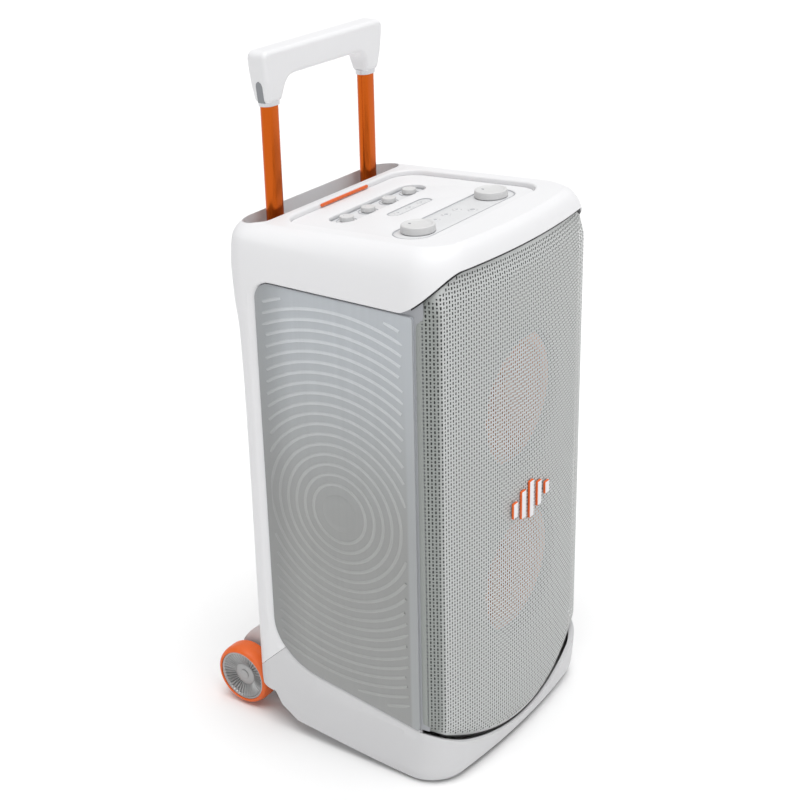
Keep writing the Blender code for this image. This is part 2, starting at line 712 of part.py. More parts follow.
def build_rear_fittings():
    door = prism("battery_door", slab(-0.0693, 0.1507, 0.0693, 0.2693, 0.005), "Y", 0.1142,
                 0.1172, "white_plastic")
    set_origin(door, (0, 0.1172, 0.1507))
    panel = prism("socket_panel", slab(-0.0644, 0.3006, 0.0644, 0.3694, 0.0075), "Y", 0.0985,
                  0.1172, "grey_plastic")
    recess = prism("cut_socket_recess", slab(-0.0620, 0.3030, 0.0620, 0.3670, 0.0055), "Y",
                   0.1010, 0.13, cutter=True)
    holes = [rod(f"cut_jack_{i}", (x, 0.100, z), (0, 1, 0), radius, 0.02, steps=16, cutter=True)
             for i, (x, z, radius) in enumerate(((-0.045, 0.345, 0.0045), (-0.020, 0.345, 0.0045),
                                                 (-0.045, 0.320, 0.0028)))]
    usb = block("cut_usb", (-0.0275, 0.09, 0.3170), (-0.0140, 0.11, 0.3230), cutter=True)
    inlet = prism("cut_inlet", slab(0.0245, 0.3195, 0.0515, 0.3405, 0.002, 2), "Y", 0.09, 0.11,
                  cutter=True)
    combine(panel, [recess, usb, inlet] + holes)
    jacks = block("jack_block", (-0.0560, 0.0800, 0.3080), (-0.0080, 0.0980, 0.3560),
                  "dark_plastic")
    bores = [rod(f"cut_jack_bore_{i}", (x, 0.098, 0.345), (0, 1, 0), 0.0033, 0.03, steps=12,
                 cutter=True) for i, x in enumerate((-0.045, -0.020))]
    combine(jacks, bores)
    socket = prism("mains_inlet", slab(0.0250, 0.3200, 0.0510, 0.3400, 0.0018, 2), "Y", 0.0805,
                   0.1040, "black_rubber")
    mouth = prism("cut_inlet_mouth", slab(0.0268, 0.3218, 0.0492, 0.3382, 0.001, 2), "Y",
                  0.0900, 0.12, cutter=True)
    combine(socket, [mouth])
    flap = prism("socket_cover", slab(-0.0615, 0.3036, 0.0200, 0.3664, 0.0055), "Y", 0.1150,
                 0.1172, "black_rubber")
    set_origin(flap, (0, 0.1172, 0.3036))


# ---- top ----------------------------------------------------------------------------------

def tilt_with_deck(made):
    """Leans a flat-built piece so that its faces stay parallel to the sloping deck."""
    for vertex in made.data.vertices:
        vertex.co.z += DECK_TOP_Z - top_drop(vertex.co.y)
    made.data.update()
    return made


def build_deck():
    left, low, right, high = RECESS
    edge = 0.0005
    deck = prism("control_deck", slab(left + edge, low + edge, right - edge, high - edge,
                                      0.0315, 5), "Z", -DECK_THICK, 0.0, "white_plastic")
    cuts = []
    for name, shape in (("rear", PILL_REAR), ("small", PILL_SMALL), ("large", PILL_LARGE)):
        cut = prism(f"cut_pill_{name}", pill(*shape), "Z", -0.02, 0.02, cutter=True)
        cuts.append(tilt_with_deck(cut))
    combine(tilt_with_deck(deck), cuts)


def build_fascias():
    rear = prism("fascia_rear", pill(*PILL_REAR, grow=-GAP), "Z", -0.0065, -0.0050,
                 "pale_fascia")
    small = prism("fascia_small", pill(*PILL_SMALL, grow=-GAP), "Z", -0.0030, -0.0012,
                  "pale_fascia")
    large = prism("fascia_large", pill(*PILL_LARGE, grow=-GAP), "Z", -0.0030, -0.0012,
                  "pale_fascia")
    holes = {
        rear: [oval(x, SMALL_KNOB_Y, 0.0047, 12) for x in SMALL_KNOB_XS],
        small: [stadium(x, PILL_SMALL[0], 0.0062, 0.0042, steps=4) for x in SMALL_KEY_XS],
        large: ([oval(s * LARGE_KNOB_X, LARGE_KNOB_Y, 0.0060, 12) for s in (-1, 1)]
                + [oval(x, y, 0.0055, 12) for x, y in LARGE_KEYS]),
    }
    for plate, outlines in holes.items():
        cuts = [tilt_with_deck(prism(f"cut_{plate.name}_{i}", outline, "Z", -0.02, 0.02,
                                     cutter=True)) for i, outline in enumerate(outlines)]
        combine(tilt_with_deck(plate), cuts)


def build_knobs():
    for i, x in enumerate(SMALL_KNOB_XS):
        profile = ((0.0, -0.0120), (0.0036, -0.0120), (0.0036, -0.0045), (0.0075, -0.0045),
                   (SMALL_KNOB_R, -0.0038), (SMALL_KNOB_R - 0.0004, 0.0006),
                   (SMALL_KNOB_R - 0.0014, 0.0014), (0.0, 0.0014))
        turned(f"small_knob_{i + 1}", profile, (x, SMALL_KNOB_Y, deck_z(SMALL_KNOB_Y)),
               (0, TOP_SLOPE, 1), "white_plastic", 14)
    for side, sign in (("left", -1), ("right", 1)):
        profile = ((0.0, -0.0120), (0.0056, -0.0120), (0.0056, -0.0007), (0.0180, -0.0007),
                   (LARGE_KNOB_R, 0.0003), (LARGE_KNOB_R - 0.0006, 0.0070),
                   (LARGE_KNOB_R - 0.0022, 0.0083), (0.0, 0.0083))
        turned(f"large_knob_{side}", profile, (sign * LARGE_KNOB_X, LARGE_KNOB_Y,
                                               deck_z(LARGE_KNOB_Y)),
               (0, TOP_SLOPE, 1), "white_plastic")


def build_keys():
    for i, x in enumerate(SMALL_KEY_XS):
        key = prism(f"small_key_{i + 1}", stadium(x, PILL_SMALL[0], 0.0062, 0.0042, -GAP, 4),
                    "Z", -0.0060, -0.0006, "grey_plastic")
        tilt_with_deck(key)
    for i, (x, y) in enumerate(LARGE_KEYS):
        key = prism(f"large_key_{i + 1}", oval(x, y, 0.0055 - GAP, 12), "Z", -0.0060, -0.0006,
                    "grey_plastic")
        tilt_with_deck(key)


def build_strip():
    """Rubber rest for a phone or tablet, on the wall behind the deck."""
    rear = RECESS[3]
    low = deck_z(rear) + 0.0014
    return block("device_strip", (-0.0455, rear - 0.0022, low), (0.0455, rear - GAP,
                                                                low + 0.0036), "orange_rubber")


# ---- handle -------------------------------------------------------------------------------

def oval_pipe(name, x, half_x, half_y, wall, z_range, finish):
    """Open-ended tube of stadium section."""
    outer = stadium(x, TUBE_Y, half_x, half_y, steps=6)
    inner = stadium(x, TUBE_Y, half_x, half_y, -wall, steps=6)
    low, high = z_range
    rings = [[(u, v, low) for u, v in outer], [(u, v, high) for u, v in outer],
             [(u, v, high) for u, v in inner], [(u, v, low) for u, v in inner]]
    return loft(name, rings, finish, closed=True)


def build_handle():
    middle_z = GRIP_BAR_LOW_Z
    right = [(0.0785, 0.7795), (0.1035, 0.7795), (0.1060, 0.7980), (0.1095, 0.8200),
             (GRIP_HALF_X, 0.8300), (0.1085, GRIP_TOP_Z - 0.0015), (0.1030, GRIP_TOP_Z)]
    inner = [(0.0540, middle_z), (0.0660, middle_z - 0.0020), (0.0735, middle_z - 0.0090)]
    outline = ([(-x, z) for x, z in inner] + [(-x, z) for x, z in right]
               + [(x, z) for x, z in reversed(right)] + [(x, z) for x, z in reversed(inner)])
    grip = prism("handle_grip", outline, "Y", TUBE_Y - GRIP_HALF_DEPTH,
                 TUBE_Y + GRIP_HALF_DEPTH, "white_plastic")
    # the legs thin down towards the tubes
    for vertex in grip.data.vertices:
        if vertex.co.z < 0.785:
            vertex.co.y = TUBE_Y + (vertex.co.y - TUBE_Y) * 0.78
    add_bevel(grip, 0.0035)
    sockets = [prism(f"cut_leg_socket_{side}", stadium(sign * TUBE_X, TUBE_Y, TUBE_HALF_X,
                                                       TUBE_HALF_Y, GAP), "Z", 0.77, 0.7950,
                     cutter=True) for side, sign in (("left", -1), ("right", 1))]
    pocket = block("cut_release_pocket", (-0.0185, TUBE_Y - 0.0065, 0.80),
                   (0.0185, TUBE_Y + 0.0065, 0.8155), cutter=True)
    combine(grip, sockets + [pocket])
    block("release_button", (-0.0180, TUBE_Y - 0.0060, 0.8030), (0.0180, TUBE_Y + 0.0060, 0.8120),
          "grey_plastic", 0.001)
    for side, sign in (("left", -1), ("right", 1)):
        oval_pipe(f"handle_tube_{side}", sign * TUBE_X, TUBE_HALF_X, TUBE_HALF_Y, TUBE_WALL,
                  TUBE_Z, "orange_anodised")
        oval_pipe(f"guide_sleeve_{side}", sign * TUBE_X, TUBE_HALF_X + 0.0020,
                  TUBE_HALF_Y + 0.0020, 0.0014, SLEEVE_Z, "satin_metal")
        oval_pipe(f"leg_collar_{side}", sign * TUBE_X, TUBE_HALF_X + 0.0016,
                  TUBE_HALF_Y + 0.0016, 0.0013, COLLAR_Z, "satin_metal")


# ---- wheels and feet ----------------------------------------------------------------------

def build_wheels():
    inner_x = WHEEL_OUTER_X - TYRE_WIDTH
    for side, sign in (("left", -1), ("right", 1)):
        origin = (sign * inner_x, WHEEL_Y, WHEEL_Z)
        axis = (sign, 0, 0)
        tyre = ((RIM_R + GAP, 0.0), (0.0385, 0.0), (TYRE_R, 0.0030), (TYRE_R, 0.0190),
                (0.0385, 0.0240), (0.0355, TYRE_WIDTH), (RIM_R + GAP, TYRE_WIDTH))
        turned(f"wheel_tyre_{side}", tyre, origin, axis, "orange_rubber")
        hub = ((AXLE_R + GAP, 0.0010), (RIM_R, 0.0010), (RIM_R, 0.0245), (0.0315, 0.0245),
               (0.0200, 0.0180), (0.0100, 0.0165), (AXLE_R + GAP, 0.0165))
        turned(f"wheel_hub_{side}", hub, origin, axis, "grey_plastic")
    rod("wheel_axle", (0, WHEEL_Y, WHEEL_Z), (1, 0, 0), AXLE_R, 2 * (inner_x + 0.0150), "steel",
        16)


def build_feet():
    block("front_foot", (-0.0900, -0.1580, 0.0), (0.0900, -0.1430, 0.0027), "black_rubber")
    rear = prism("rear_foot", ((0.020, 0.0), (0.038, 0.0), (0.038, 0.0196), (0.020, 0.0177)),
                 "X", -0.0900, 0.0900, "black_rubber")
    return rear


def main():
    build_hood()
    build_tray()
    build_rear_panel()
    build_side_lights()
    build_grille()
    build_gasket()
    build_badge()
    build_baffle()
    build_box()
    build_woofers()
    build_tweeters()
    build_port()
    build_electronics()
    build_rear_fittings()
    build_deck()
    build_fascias()
    build_knobs()
    build_keys()
    build_strip()
    build_handle()
    build_wheels()
    build_feet()


main()
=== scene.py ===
"""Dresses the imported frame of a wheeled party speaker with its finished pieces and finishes.

Metres, +Z up, front towards -Y. Everything is placed in the frame's own coordinates.
"""

import math

import bmesh
import bpy
import numpy as np
from bpy.props import FloatProperty, FloatVectorProperty, IntProperty, PointerProperty
from mathutils import Matrix, Vector


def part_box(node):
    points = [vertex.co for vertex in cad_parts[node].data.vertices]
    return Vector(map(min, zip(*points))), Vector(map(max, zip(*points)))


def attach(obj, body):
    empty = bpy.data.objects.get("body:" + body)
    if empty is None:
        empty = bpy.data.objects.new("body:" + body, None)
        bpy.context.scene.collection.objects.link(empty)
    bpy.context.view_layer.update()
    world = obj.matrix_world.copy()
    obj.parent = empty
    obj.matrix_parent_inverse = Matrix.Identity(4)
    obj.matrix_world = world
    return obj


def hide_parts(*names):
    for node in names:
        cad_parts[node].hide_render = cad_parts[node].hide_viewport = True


bl_info = {
    "name": "Party Speaker Pieces",
    "version": (1, 0, 0),
    "blender": (4, 5, 0),
    "location": "3D View > Sidebar > Speaker",
    "description": "Builds the shell, front, controls, handle and wheels of a party speaker",
    "category": "Object",
}

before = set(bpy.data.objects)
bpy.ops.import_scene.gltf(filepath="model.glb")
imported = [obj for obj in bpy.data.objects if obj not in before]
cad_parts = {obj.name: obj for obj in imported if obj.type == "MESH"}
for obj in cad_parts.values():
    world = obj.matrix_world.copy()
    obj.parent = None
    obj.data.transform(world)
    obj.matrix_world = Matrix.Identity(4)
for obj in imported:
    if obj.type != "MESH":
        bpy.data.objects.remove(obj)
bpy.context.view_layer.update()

# ---- sizes shared with the frame ------------------------------------------------------------

HALF_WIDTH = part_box("bottom_tray")[1].x
FRONT_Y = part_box("bottom_tray")[0].y         # foremost point of the bowed front
REAR_Y = 0.1175
BOW_R = 0.92
FRONT_CORNER_R = 0.049
REAR_CORNER_R = 0.030
# centre of a front corner's arc, and the lean of the bow where it meets that arc
CORNER_X, CORNER_REACH = HALF_WIDTH - FRONT_CORNER_R, BOW_R - FRONT_CORNER_R
CORNER_Y = FRONT_Y + BOW_R - math.sqrt(CORNER_REACH ** 2 - CORNER_X ** 2)
CORNER_LEAN = math.asin(CORNER_X / CORNER_REACH)

# outer surface of the hood from below: height, side inset, front inset, rear plane
HOOD_KNOTS = (
    (0.060, 0.000, 0.000, 0.1175), (0.530, 0.000, 0.000, 0.1175), (0.565, 0.000, 0.000, 0.1220),
    (0.600, 0.000, 0.000, 0.1240), (0.630, 0.003, 0.002, 0.1245), (0.648, 0.009, 0.005, 0.1240),
    (0.660, 0.018, 0.010, 0.1225), (0.667, 0.029, 0.018, 0.1195),
)
TOP_Z = HOOD_KNOTS[-1][0]
TILT_FROM_Z = 0.640
TOP_SLOPE = 0.05
TOP_PIVOT_Y = -0.15

WINDOW_FRONT_Y, WINDOW_REAR_Y = -0.1367, 0.0779
WINDOW_TOP_Z = 0.5975
SILL_FRONT_Z, SILL_SLOPE, SILL_END_Y = 0.0757, 0.15, 0.040
CHAMFER_RISE = 0.036                         # from the sill's end up the slanted lower corner
SILL_END_ROUND, CHAMFER_ROUND, WINDOW_TOP_ROUND = 0.085, 0.055, 0.022
SEAM_Y, SEAM_Z, SEAM_SLOPE, SEAM_GAP = 0.0624, 0.1227, -0.97, 0.0003
HOOD_FRONT_Z = 0.6430
SWEEP_START, SWEEP_END = -0.018, 0.068       # distances round the front corner
LIP_Z, LIP_RISE = 0.026, 0.0497

RECESS = (-0.122, -0.128, 0.122, 0.0725)
DECK_Z = 0.6605
TROUGH_HALF_X = 0.140
TROUGH_Y = (0.0838, 0.1198)
TROUGH_FLOOR_Z = 0.600

TUBE_X, TUBE_Y = 0.0905, 0.1028
TUBE_HALF_X, TUBE_HALF_Y = 0.0115, 0.0078
WHEEL_Y, WHEEL_Z = 0.1476, 0.0430
TAIL_HALF_X = 0.1235

PILL_REAR = (0.0226, 0.0840, 0.0165)         # centre y, half length, half width
PILL_SMALL = (-0.0210, 0.0390, 0.0085)
PILL_LARGE = (-0.0835, 0.1060, 0.0240)
LARGE_KNOB_X = 0.0746
SMALL_KNOB_XS = (-0.0618, -0.0206, 0.0206, 0.0618)
SMALL_KEY_XS = (-0.0230, 0.0, 0.0230)
LARGE_KEYS = ((-0.030, -0.076), (-0.008, -0.076), (0.014, -0.076), (0.020, -0.093))
WOOFER_ZS = (0.2277, 0.4500)

SIDES = (("left", -1), ("right", 1))


# ---- settings -------------------------------------------------------------------------------

class SpeakerSizes(bpy.types.PropertyGroup):
    edge_round: FloatProperty(name="Edge round", description="Rounding of the recess and trough",
                              default=0.0030, min=0.0005, max=0.006, unit="LENGTH")
    window_bevel: FloatProperty(name="Window bevel", description="Width of the bevel below the "
                                "light covers", default=0.0090, min=0.001, max=0.015,
                                unit="LENGTH")
    ring_pitch: FloatProperty(name="Ring pitch", description="Spacing of the rings moulded into "
                              "the light covers", default=0.0123, min=0.005, max=0.03,
                              unit="LENGTH")
    hole_pitch: FloatProperty(name="Hole pitch", description="Spacing of the holes across the "
                              "front", default=0.0040, min=0.003, max=0.01, unit="LENGTH")
    wheel_ribs: IntProperty(name="Wheel ribs", description="Ribs in the dish of each wheel",
                            default=40, min=8, max=80)


class SpeakerFinishes(bpy.types.PropertyGroup):
    shell: FloatVectorProperty(name="Shell", description="Moulded shell", subtype="COLOR",
                               default=(0.80, 0.80, 0.812), min=0, max=1)
    grille: FloatVectorProperty(name="Grille", description="Coated front sheet", subtype="COLOR",
                                default=(0.575, 0.59, 0.583), min=0, max=1)
    accent: FloatVectorProperty(name="Accent", description="Tyres and strip", subtype="COLOR",
                                default=(0.80, 0.130, 0.012), min=0, max=1)
    tube: FloatVectorProperty(name="Tubes", description="Anodised handle tubes", subtype="COLOR",
                              default=(0.53, 0.100, 0.011), min=0, max=1)


# ---- outlines -------------------------------------------------------------------------------

def arc(centre_u, centre_v, radius, start, end, steps):
    """Points on an arc, both ends included; angles in degrees."""
    angles = np.radians(np.linspace(start, end, steps + 1))
    return [(centre_u + radius * math.cos(a), centre_v + radius * math.sin(a)) for a in angles]


def rounded(corners, steps=8):
    """Rounds a polygon whose corners are (u, v, radius), in either turning direction."""
    points = []
    for i, (u, v, radius) in enumerate(corners):
        here = Vector((u, v))
        if radius == 0:
            points.append((u, v))
            continue
        before = (Vector(corners[i - 1][:2]) - here).normalized()
        after = (Vector(corners[(i + 1) % len(corners)][:2]) - here).normalized()
        half = before.angle(after) / 2
        centre = here + (before + after).normalized() * (radius / math.sin(half))
        first = here + before * (radius / math.tan(half)) - centre
        last = here + after * (radius / math.tan(half)) - centre
        turn = first.angle_signed(last)
        for k in range(steps + 1):
            points.append(tuple(centre + Matrix.Rotation(-turn * k / steps, 2) @ first))
    return points


def slab(left, low, right, high, radius, grow=0.0, steps=8):
    radius += grow
    return rounded(((left - grow, low - grow, radius), (right + grow, low - grow, radius),
                    (right + grow, high + grow, radius), (left - grow, high + grow, radius)),
                   steps)


def pill(centre_y, half_length, half_width, grow=0.0, centre_x=0.0, steps=20):
    """Stadium outline lying along X."""
    radius, straight = half_width + grow, half_length - half_width
    return (arc(centre_x + straight, centre_y, radius, -90, 90, steps)
            + arc(centre_x - straight, centre_y, radius, 90, 270, steps))


def tube_outline(sign, grow=0.0):
    """Section of a handle tube, grown all round."""
    return pill(TUBE_Y, TUBE_HALF_X, TUBE_HALF_Y, grow, sign * TUBE_X)


def oval(centre_x, centre_y, radius, steps=40):
    return arc(centre_x, centre_y, radius, 0, 360 - 360 / steps, steps - 1)


def grown(outline, amount):
    """A counter-clockwise outline moved outwards; the amount is a number or one per point."""
    points = np.array(outline)
    run = np.roll(points, -1, 0) - np.roll(points, 1, 0)
    run /= np.maximum(np.linalg.norm(run, axis=1), 1e-9)[:, None]
    outward = np.stack([run[:, 1], -run[:, 0]], 1)
    return points + outward * np.reshape(amount, (-1, 1))


def half_plan():
    """Right half of the cabinet seen from above, from the front's middle to the rear's."""
    lean = math.degrees(CORNER_LEAN)
    rear_x, rear_y = HALF_WIDTH - REAR_CORNER_R, REAR_Y - REAR_CORNER_R
    points = arc(0, FRONT_Y + BOW_R, BOW_R, 270, 270 + lean, 14)
    points += arc(CORNER_X, CORNER_Y, FRONT_CORNER_R, 270 + lean, 360, 20)[1:]
    points += [(HALF_WIDTH, y) for y in np.linspace(CORNER_Y, rear_y, 60)[1:-1]]
    points += arc(rear_x, rear_y, REAR_CORNER_R, 0, 90, 14)
    points += [(x, REAR_Y) for x in np.linspace(rear_x, 0, 16)[1:]]
    return np.array(points)


HALF_PLAN = half_plan()
FULL_PLAN = np.concatenate([HALF_PLAN, (HALF_PLAN * (-1, 1))[-2:0:-1]])


def plan(points, side, front, rear=REAR_Y):
    """Plan points drawn in at the sides and front, with the rear plane moved."""
    ahead = points[:, 1] < 0
    scale_y = np.where(ahead, (FRONT_Y + front) / FRONT_Y, rear / REAR_Y)
    return np.stack([points[:, 0] * (HALF_WIDTH - side) / HALF_WIDTH, points[:, 1] * scale_y], 1)


def deck_z(y):
    """Height of the deck, which falls towards the rear."""
    return DECK_Z - TOP_SLOPE * (y - TOP_PIVOT_Y)


def smooth(t):
    t = np.clip(t, 0.0, 1.0)
    return t * t * (3 - 2 * t)


def corner_distance(x, y):
    """Distance round a front corner: 0 where it leaves the flat side, growing to the middle."""
    x = np.abs(x)
    swing = np.minimum(np.arctan2(CORNER_Y - y, np.maximum(x - CORNER_X, 1e-9)),
                       math.pi / 2 - CORNER_LEAN)
    bow = BOW_R * np.maximum(CORNER_LEAN - np.arcsin(x / BOW_R), 0)
    return np.where(y > CORNER_Y, CORNER_Y - y, FRONT_CORNER_R * swing + bow)


def hood_edge(x, y):
    """Height of the hood's lower edge: level across the front, swept down round the corners."""
    t = (corner_distance(x, y) - SWEEP_START) / (SWEEP_END - SWEEP_START)
    return HOOD_FRONT_Z - (HOOD_FRONT_Z - WINDOW_TOP_Z) * (1 - smooth(t))


def lip(x):
    """Height of the tray's upper edge across the front."""
    return LIP_Z + LIP_RISE * (np.asarray(x) / HALF_WIDTH) ** 2


def sill(y):
    return SILL_FRONT_Z + SILL_SLOPE * (y - WINDOW_FRONT_Y)


def seam(y):
    return SEAM_Z + SEAM_SLOPE * (y - SEAM_Y)


def window(front_y=WINDOW_FRONT_Y, inset=0.0, front_round=0.004):
    """Outline of a side light window in (y, z), counter-clockwise."""
    end = sill(SILL_END_Y)
    outline = rounded(((front_y, sill(front_y), front_round), (SILL_END_Y, end, SILL_END_ROUND),
                       (WINDOW_REAR_Y, end + CHAMFER_RISE, CHAMFER_ROUND),
                       (WINDOW_REAR_Y, WINDOW_TOP_Z, WINDOW_TOP_ROUND),
                       (front_y, WINDOW_TOP_Z, front_round)), 12)
    return grown(outline, -inset) if inset else np.array(outline)


def knots_between(knots, steps):
    """Smooth rows through a table of knots, paced by the distance between them."""
    table = np.array(knots)
    padded = np.concatenate([2 * table[:1] - table[1:2], table, 2 * table[-1:] - table[-2:-1]])
    pace = np.cumsum(np.append(0, np.sqrt(np.linalg.norm(np.diff(padded, axis=0), axis=1))))
    rows = []
    for k in range(1, len(padded) - 2):
        p, t = padded[k - 1:k + 3], pace[k - 1:k + 3]
        for now in np.linspace(t[1], t[2], steps, endpoint=False):
            level = list(p)
            for width in (1, 2, 2):
                spans = [(i, i + width) for i in range(len(level) - 1)]
                if len(level) == 2:
                    spans = [(1, 2)]
                level = [((t[j] - now) * a + (now - t[i]) * b) / (t[j] - t[i])
                         for (i, j), a, b in zip(spans, level, level[1:])]
            rows.append(level[0])
    rows.append(table[-1])
    return rows


# ---- mesh makers ----------------------------------------------------------------------------

def make(name, data, material, sharp_deg=32):
    """Turns mesh data into a shaded object with its material."""
    bmesh.ops.recalc_face_normals(data, faces=data.faces)
    mesh = bpy.data.meshes.new(name)
    data.to_mesh(mesh)
    data.free()
    mesh.shade_smooth()
    mesh.set_sharp_from_angle(angle=math.radians(sharp_deg))
    if material:
        mesh.materials.append(material)
    made = bpy.data.objects.new(name, mesh)
    bpy.context.scene.collection.objects.link(made)
    return made


def bridge(data, loops, closed=False, tube=True):
    """Faces between rows of vertices; closed joins the last row to the first one."""
    faces = []
    for low, high in zip(loops, loops[1:] + (loops[:1] if closed else [])):
        for i in range(len(low) if tube else len(low) - 1):
            j = (i + 1) % len(low)
            corners = list(dict.fromkeys((low[i], low[j], high[j], high[i])))
            if len(corners) > 2:
                faces.append(data.faces.new(corners))
    return faces


def loft(rings, closed=False, data=None):
    """Mesh data bridging rings of equal length, with its ends capped unless it is closed."""
    data = data or bmesh.new()
    loops = [[data.verts.new(tuple(point)) for point in ring] for ring in rings]
    bridge(data, loops, closed)
    if not closed:
        data.faces.new(loops[0][::-1])
        data.faces.new(loops[-1])
    return data


def along(axis, outline, depth):
    """A flat (u, v) outline as points, at a depth along an axis."""
    order = {"X": (2, 0, 1), "Y": (0, 2, 1), "Z": (0, 1, 2)}[axis]
    return [tuple((u, v, depth)[k] for k in order) for u, v in outline]


def turned(profile, steps=72, closed=True):
    """Mesh data of a (radius, height) profile turned about Z; points on the axis are shared."""
    data = bmesh.new()
    angles = np.linspace(0, 2 * math.pi, steps, endpoint=False)
    loops = []
    for radius, height in profile:
        if radius < 1e-7:
            loops.append([data.verts.new((0, 0, height))] * steps)
        else:
            loops.append([data.verts.new((radius * math.cos(a), radius * math.sin(a), height))
                          for a in angles])
    bridge(data, loops, closed)
    return data


def arc_profile(points, steps=4):
    """Softens each inner corner of an open profile whose points are (r, h, radius)."""
    out = []
    for i, (r, h, radius) in enumerate(points):
        if radius == 0:
            out.append((r, h))
            continue
        here = Vector((r, h))
        before = (Vector(points[i - 1][:2]) - here).normalized()
        after = (Vector(points[i + 1][:2]) - here).normalized()
        for k in range(steps + 1):
            t = k / steps
            out.append(tuple(here + before * radius * (1 - t) ** 2 + after * radius * t ** 2))
    return out


def place(made, origin, axis=(0, 0, 1)):
    """Turns a piece made about Z onto an axis, in its mesh, and moves it to its origin."""
    turn = Vector((0, 0, 1)).rotation_difference(Vector(axis).normalized())
    made.data.transform(turn.to_matrix().to_4x4())
    made.location = origin
    return made


def carve(made, cutters, joins=()):
    """Cuts and joins solids for good, then shades big flat faces flat."""
    for operation, others in (("UNION", joins), ("DIFFERENCE", cutters)):
        for other in others:
            boolean = made.modifiers.new(operation.lower(), "BOOLEAN")
            boolean.operation = operation
            boolean.object = other
    return settle(made, list(joins) + list(cutters))


def settle(made, spent=(), sharp_deg=32):
    """Works out a piece's modifiers for good and clears away what shaped it."""
    graph = bpy.context.evaluated_depsgraph_get()
    mesh = bpy.data.meshes.new_from_object(made.evaluated_get(graph))
    made.modifiers.clear()
    old, made.data = made.data, mesh
    mesh.name = made.name
    bpy.data.meshes.remove(old)
    for other in spent:
        bpy.data.objects.remove(other)
    mesh.shade_smooth()
    mesh.set_sharp_from_angle(angle=math.radians(sharp_deg))
    weigh = made.modifiers.new("flat faces", "WEIGHTED_NORMAL")
    weigh.keep_sharp = True
    weigh.weight = 80
    return made


def cutter(name, rings):
    return make(name, loft(rings), None)


def through(name, axis, outline, *depths):
    """Cutter with one outline all along an axis."""
    return cutter(name, [along(axis, outline, depth) for depth in depths])


def tilted(made):
    """Lays a piece made round height 0 onto the sloping deck."""
    for vertex in made.data.vertices:
        vertex.co.z += deck_z(vertex.co.y)
    return made


def fit(made, body, *nodes):
    """Hands a finished piece to its body and lets it stand for CAD nodes."""
    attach(made, body)
    if nodes:
        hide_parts(*nodes)
    return made


# ---- finishes -------------------------------------------------------------------------------

def blank(name):
    """An empty node material, its nodes and its links."""
    material = bpy.data.materials.new(name)
    material.use_nodes = True
    material.node_tree.nodes.clear()
    return material, material.node_tree.nodes, material.node_tree.links


def moulded_plastic(name, colour, roughness=0.42, drift=0.03):
    """Moulded plastic: colour that drifts a little, rubbed patches and a fine mould grain."""
    material, nodes, links = blank(name)
    tint = nodes.new("NodeFrame")
    tint.label = "Moulded colour"
    gloss = nodes.new("NodeFrame")
    gloss.label = "Rubbed and fresh patches"
    skin = nodes.new("NodeFrame")
    skin.label = "Grain of the mould"
    where = nodes.new("ShaderNodeTexCoord")
    where.label = "Position on the moulding"
    flow = nodes.new("ShaderNodeTexNoise")
    flow.label = "Slow drift where the plastic flowed"
    shade = nodes.new("ShaderNodeMix")
    shade.label = "Between the darker and paler plastic"
    rub = nodes.new("ShaderNodeTexNoise")
    rub.label = "Patches that hands have rubbed"
    sheen = nodes.new("ShaderNodeMapRange")
    sheen.label = "Roughness of rubbed and fresh patches"
    sand = nodes.new("ShaderNodeTexNoise")
    sand.label = "Spark-eroded grain"
    bumps = nodes.new("ShaderNodeBump")
    bumps.label = "Grain standing on the skin"
    shader = nodes.new("ShaderNodeBsdfPrincipled")
    shader.label = "Plastic"
    output = nodes.new("ShaderNodeOutputMaterial")
    output.label = "Moulding"
    for node, parent, spot in ((where, None, (-1000, 0)), (flow, tint, (-760, 300)),
                                (shade, tint, (-520, 300)), (rub, gloss, (-760, 0)),
                                (sheen, gloss, (-520, 0)), (sand, skin, (-760, -300)),
                                (bumps, skin, (-520, -300)), (shader, None, (-200, 100)),
                                (output, None, (120, 100))):
        node.parent, node.location = parent, spot
    flow.inputs["Scale"].default_value = 7.0
    flow.inputs["Detail"].default_value = 3.0
    shade.data_type = "RGBA"
    shade.inputs[6].default_value = (*(c * (1 - drift) for c in colour), 1)
    shade.inputs[7].default_value = (*(min(c * (1 + drift), 1) for c in colour), 1)
    rub.inputs["Scale"].default_value = 24.0
    rub.inputs["Detail"].default_value = 5.0
    sheen.inputs["To Min"].default_value = roughness - 0.05
    sheen.inputs["To Max"].default_value = roughness + 0.07
    sand.inputs["Scale"].default_value = 1500.0
    sand.inputs["Detail"].default_value = 2.0
    bumps.inputs["Strength"].default_value = 0.05
    bumps.inputs["Distance"].default_value = 0.0004
    links.new(where.outputs["Object"], flow.inputs["Vector"])
    links.new(where.outputs["Object"], rub.inputs["Vector"])
    links.new(where.outputs["Object"], sand.inputs["Vector"])
    links.new(flow.outputs["Fac"], shade.inputs["Factor"])
    links.new(shade.outputs[2], shader.inputs["Base Color"])
    links.new(rub.outputs["Fac"], sheen.inputs["Value"])
    links.new(sheen.outputs["Result"], shader.inputs["Roughness"])
    links.new(sand.outputs["Fac"], bumps.inputs["Height"])
    links.new(bumps.outputs["Normal"], shader.inputs["Normal"])
    links.new(shader.outputs["BSDF"], output.inputs["Surface"])
    return material


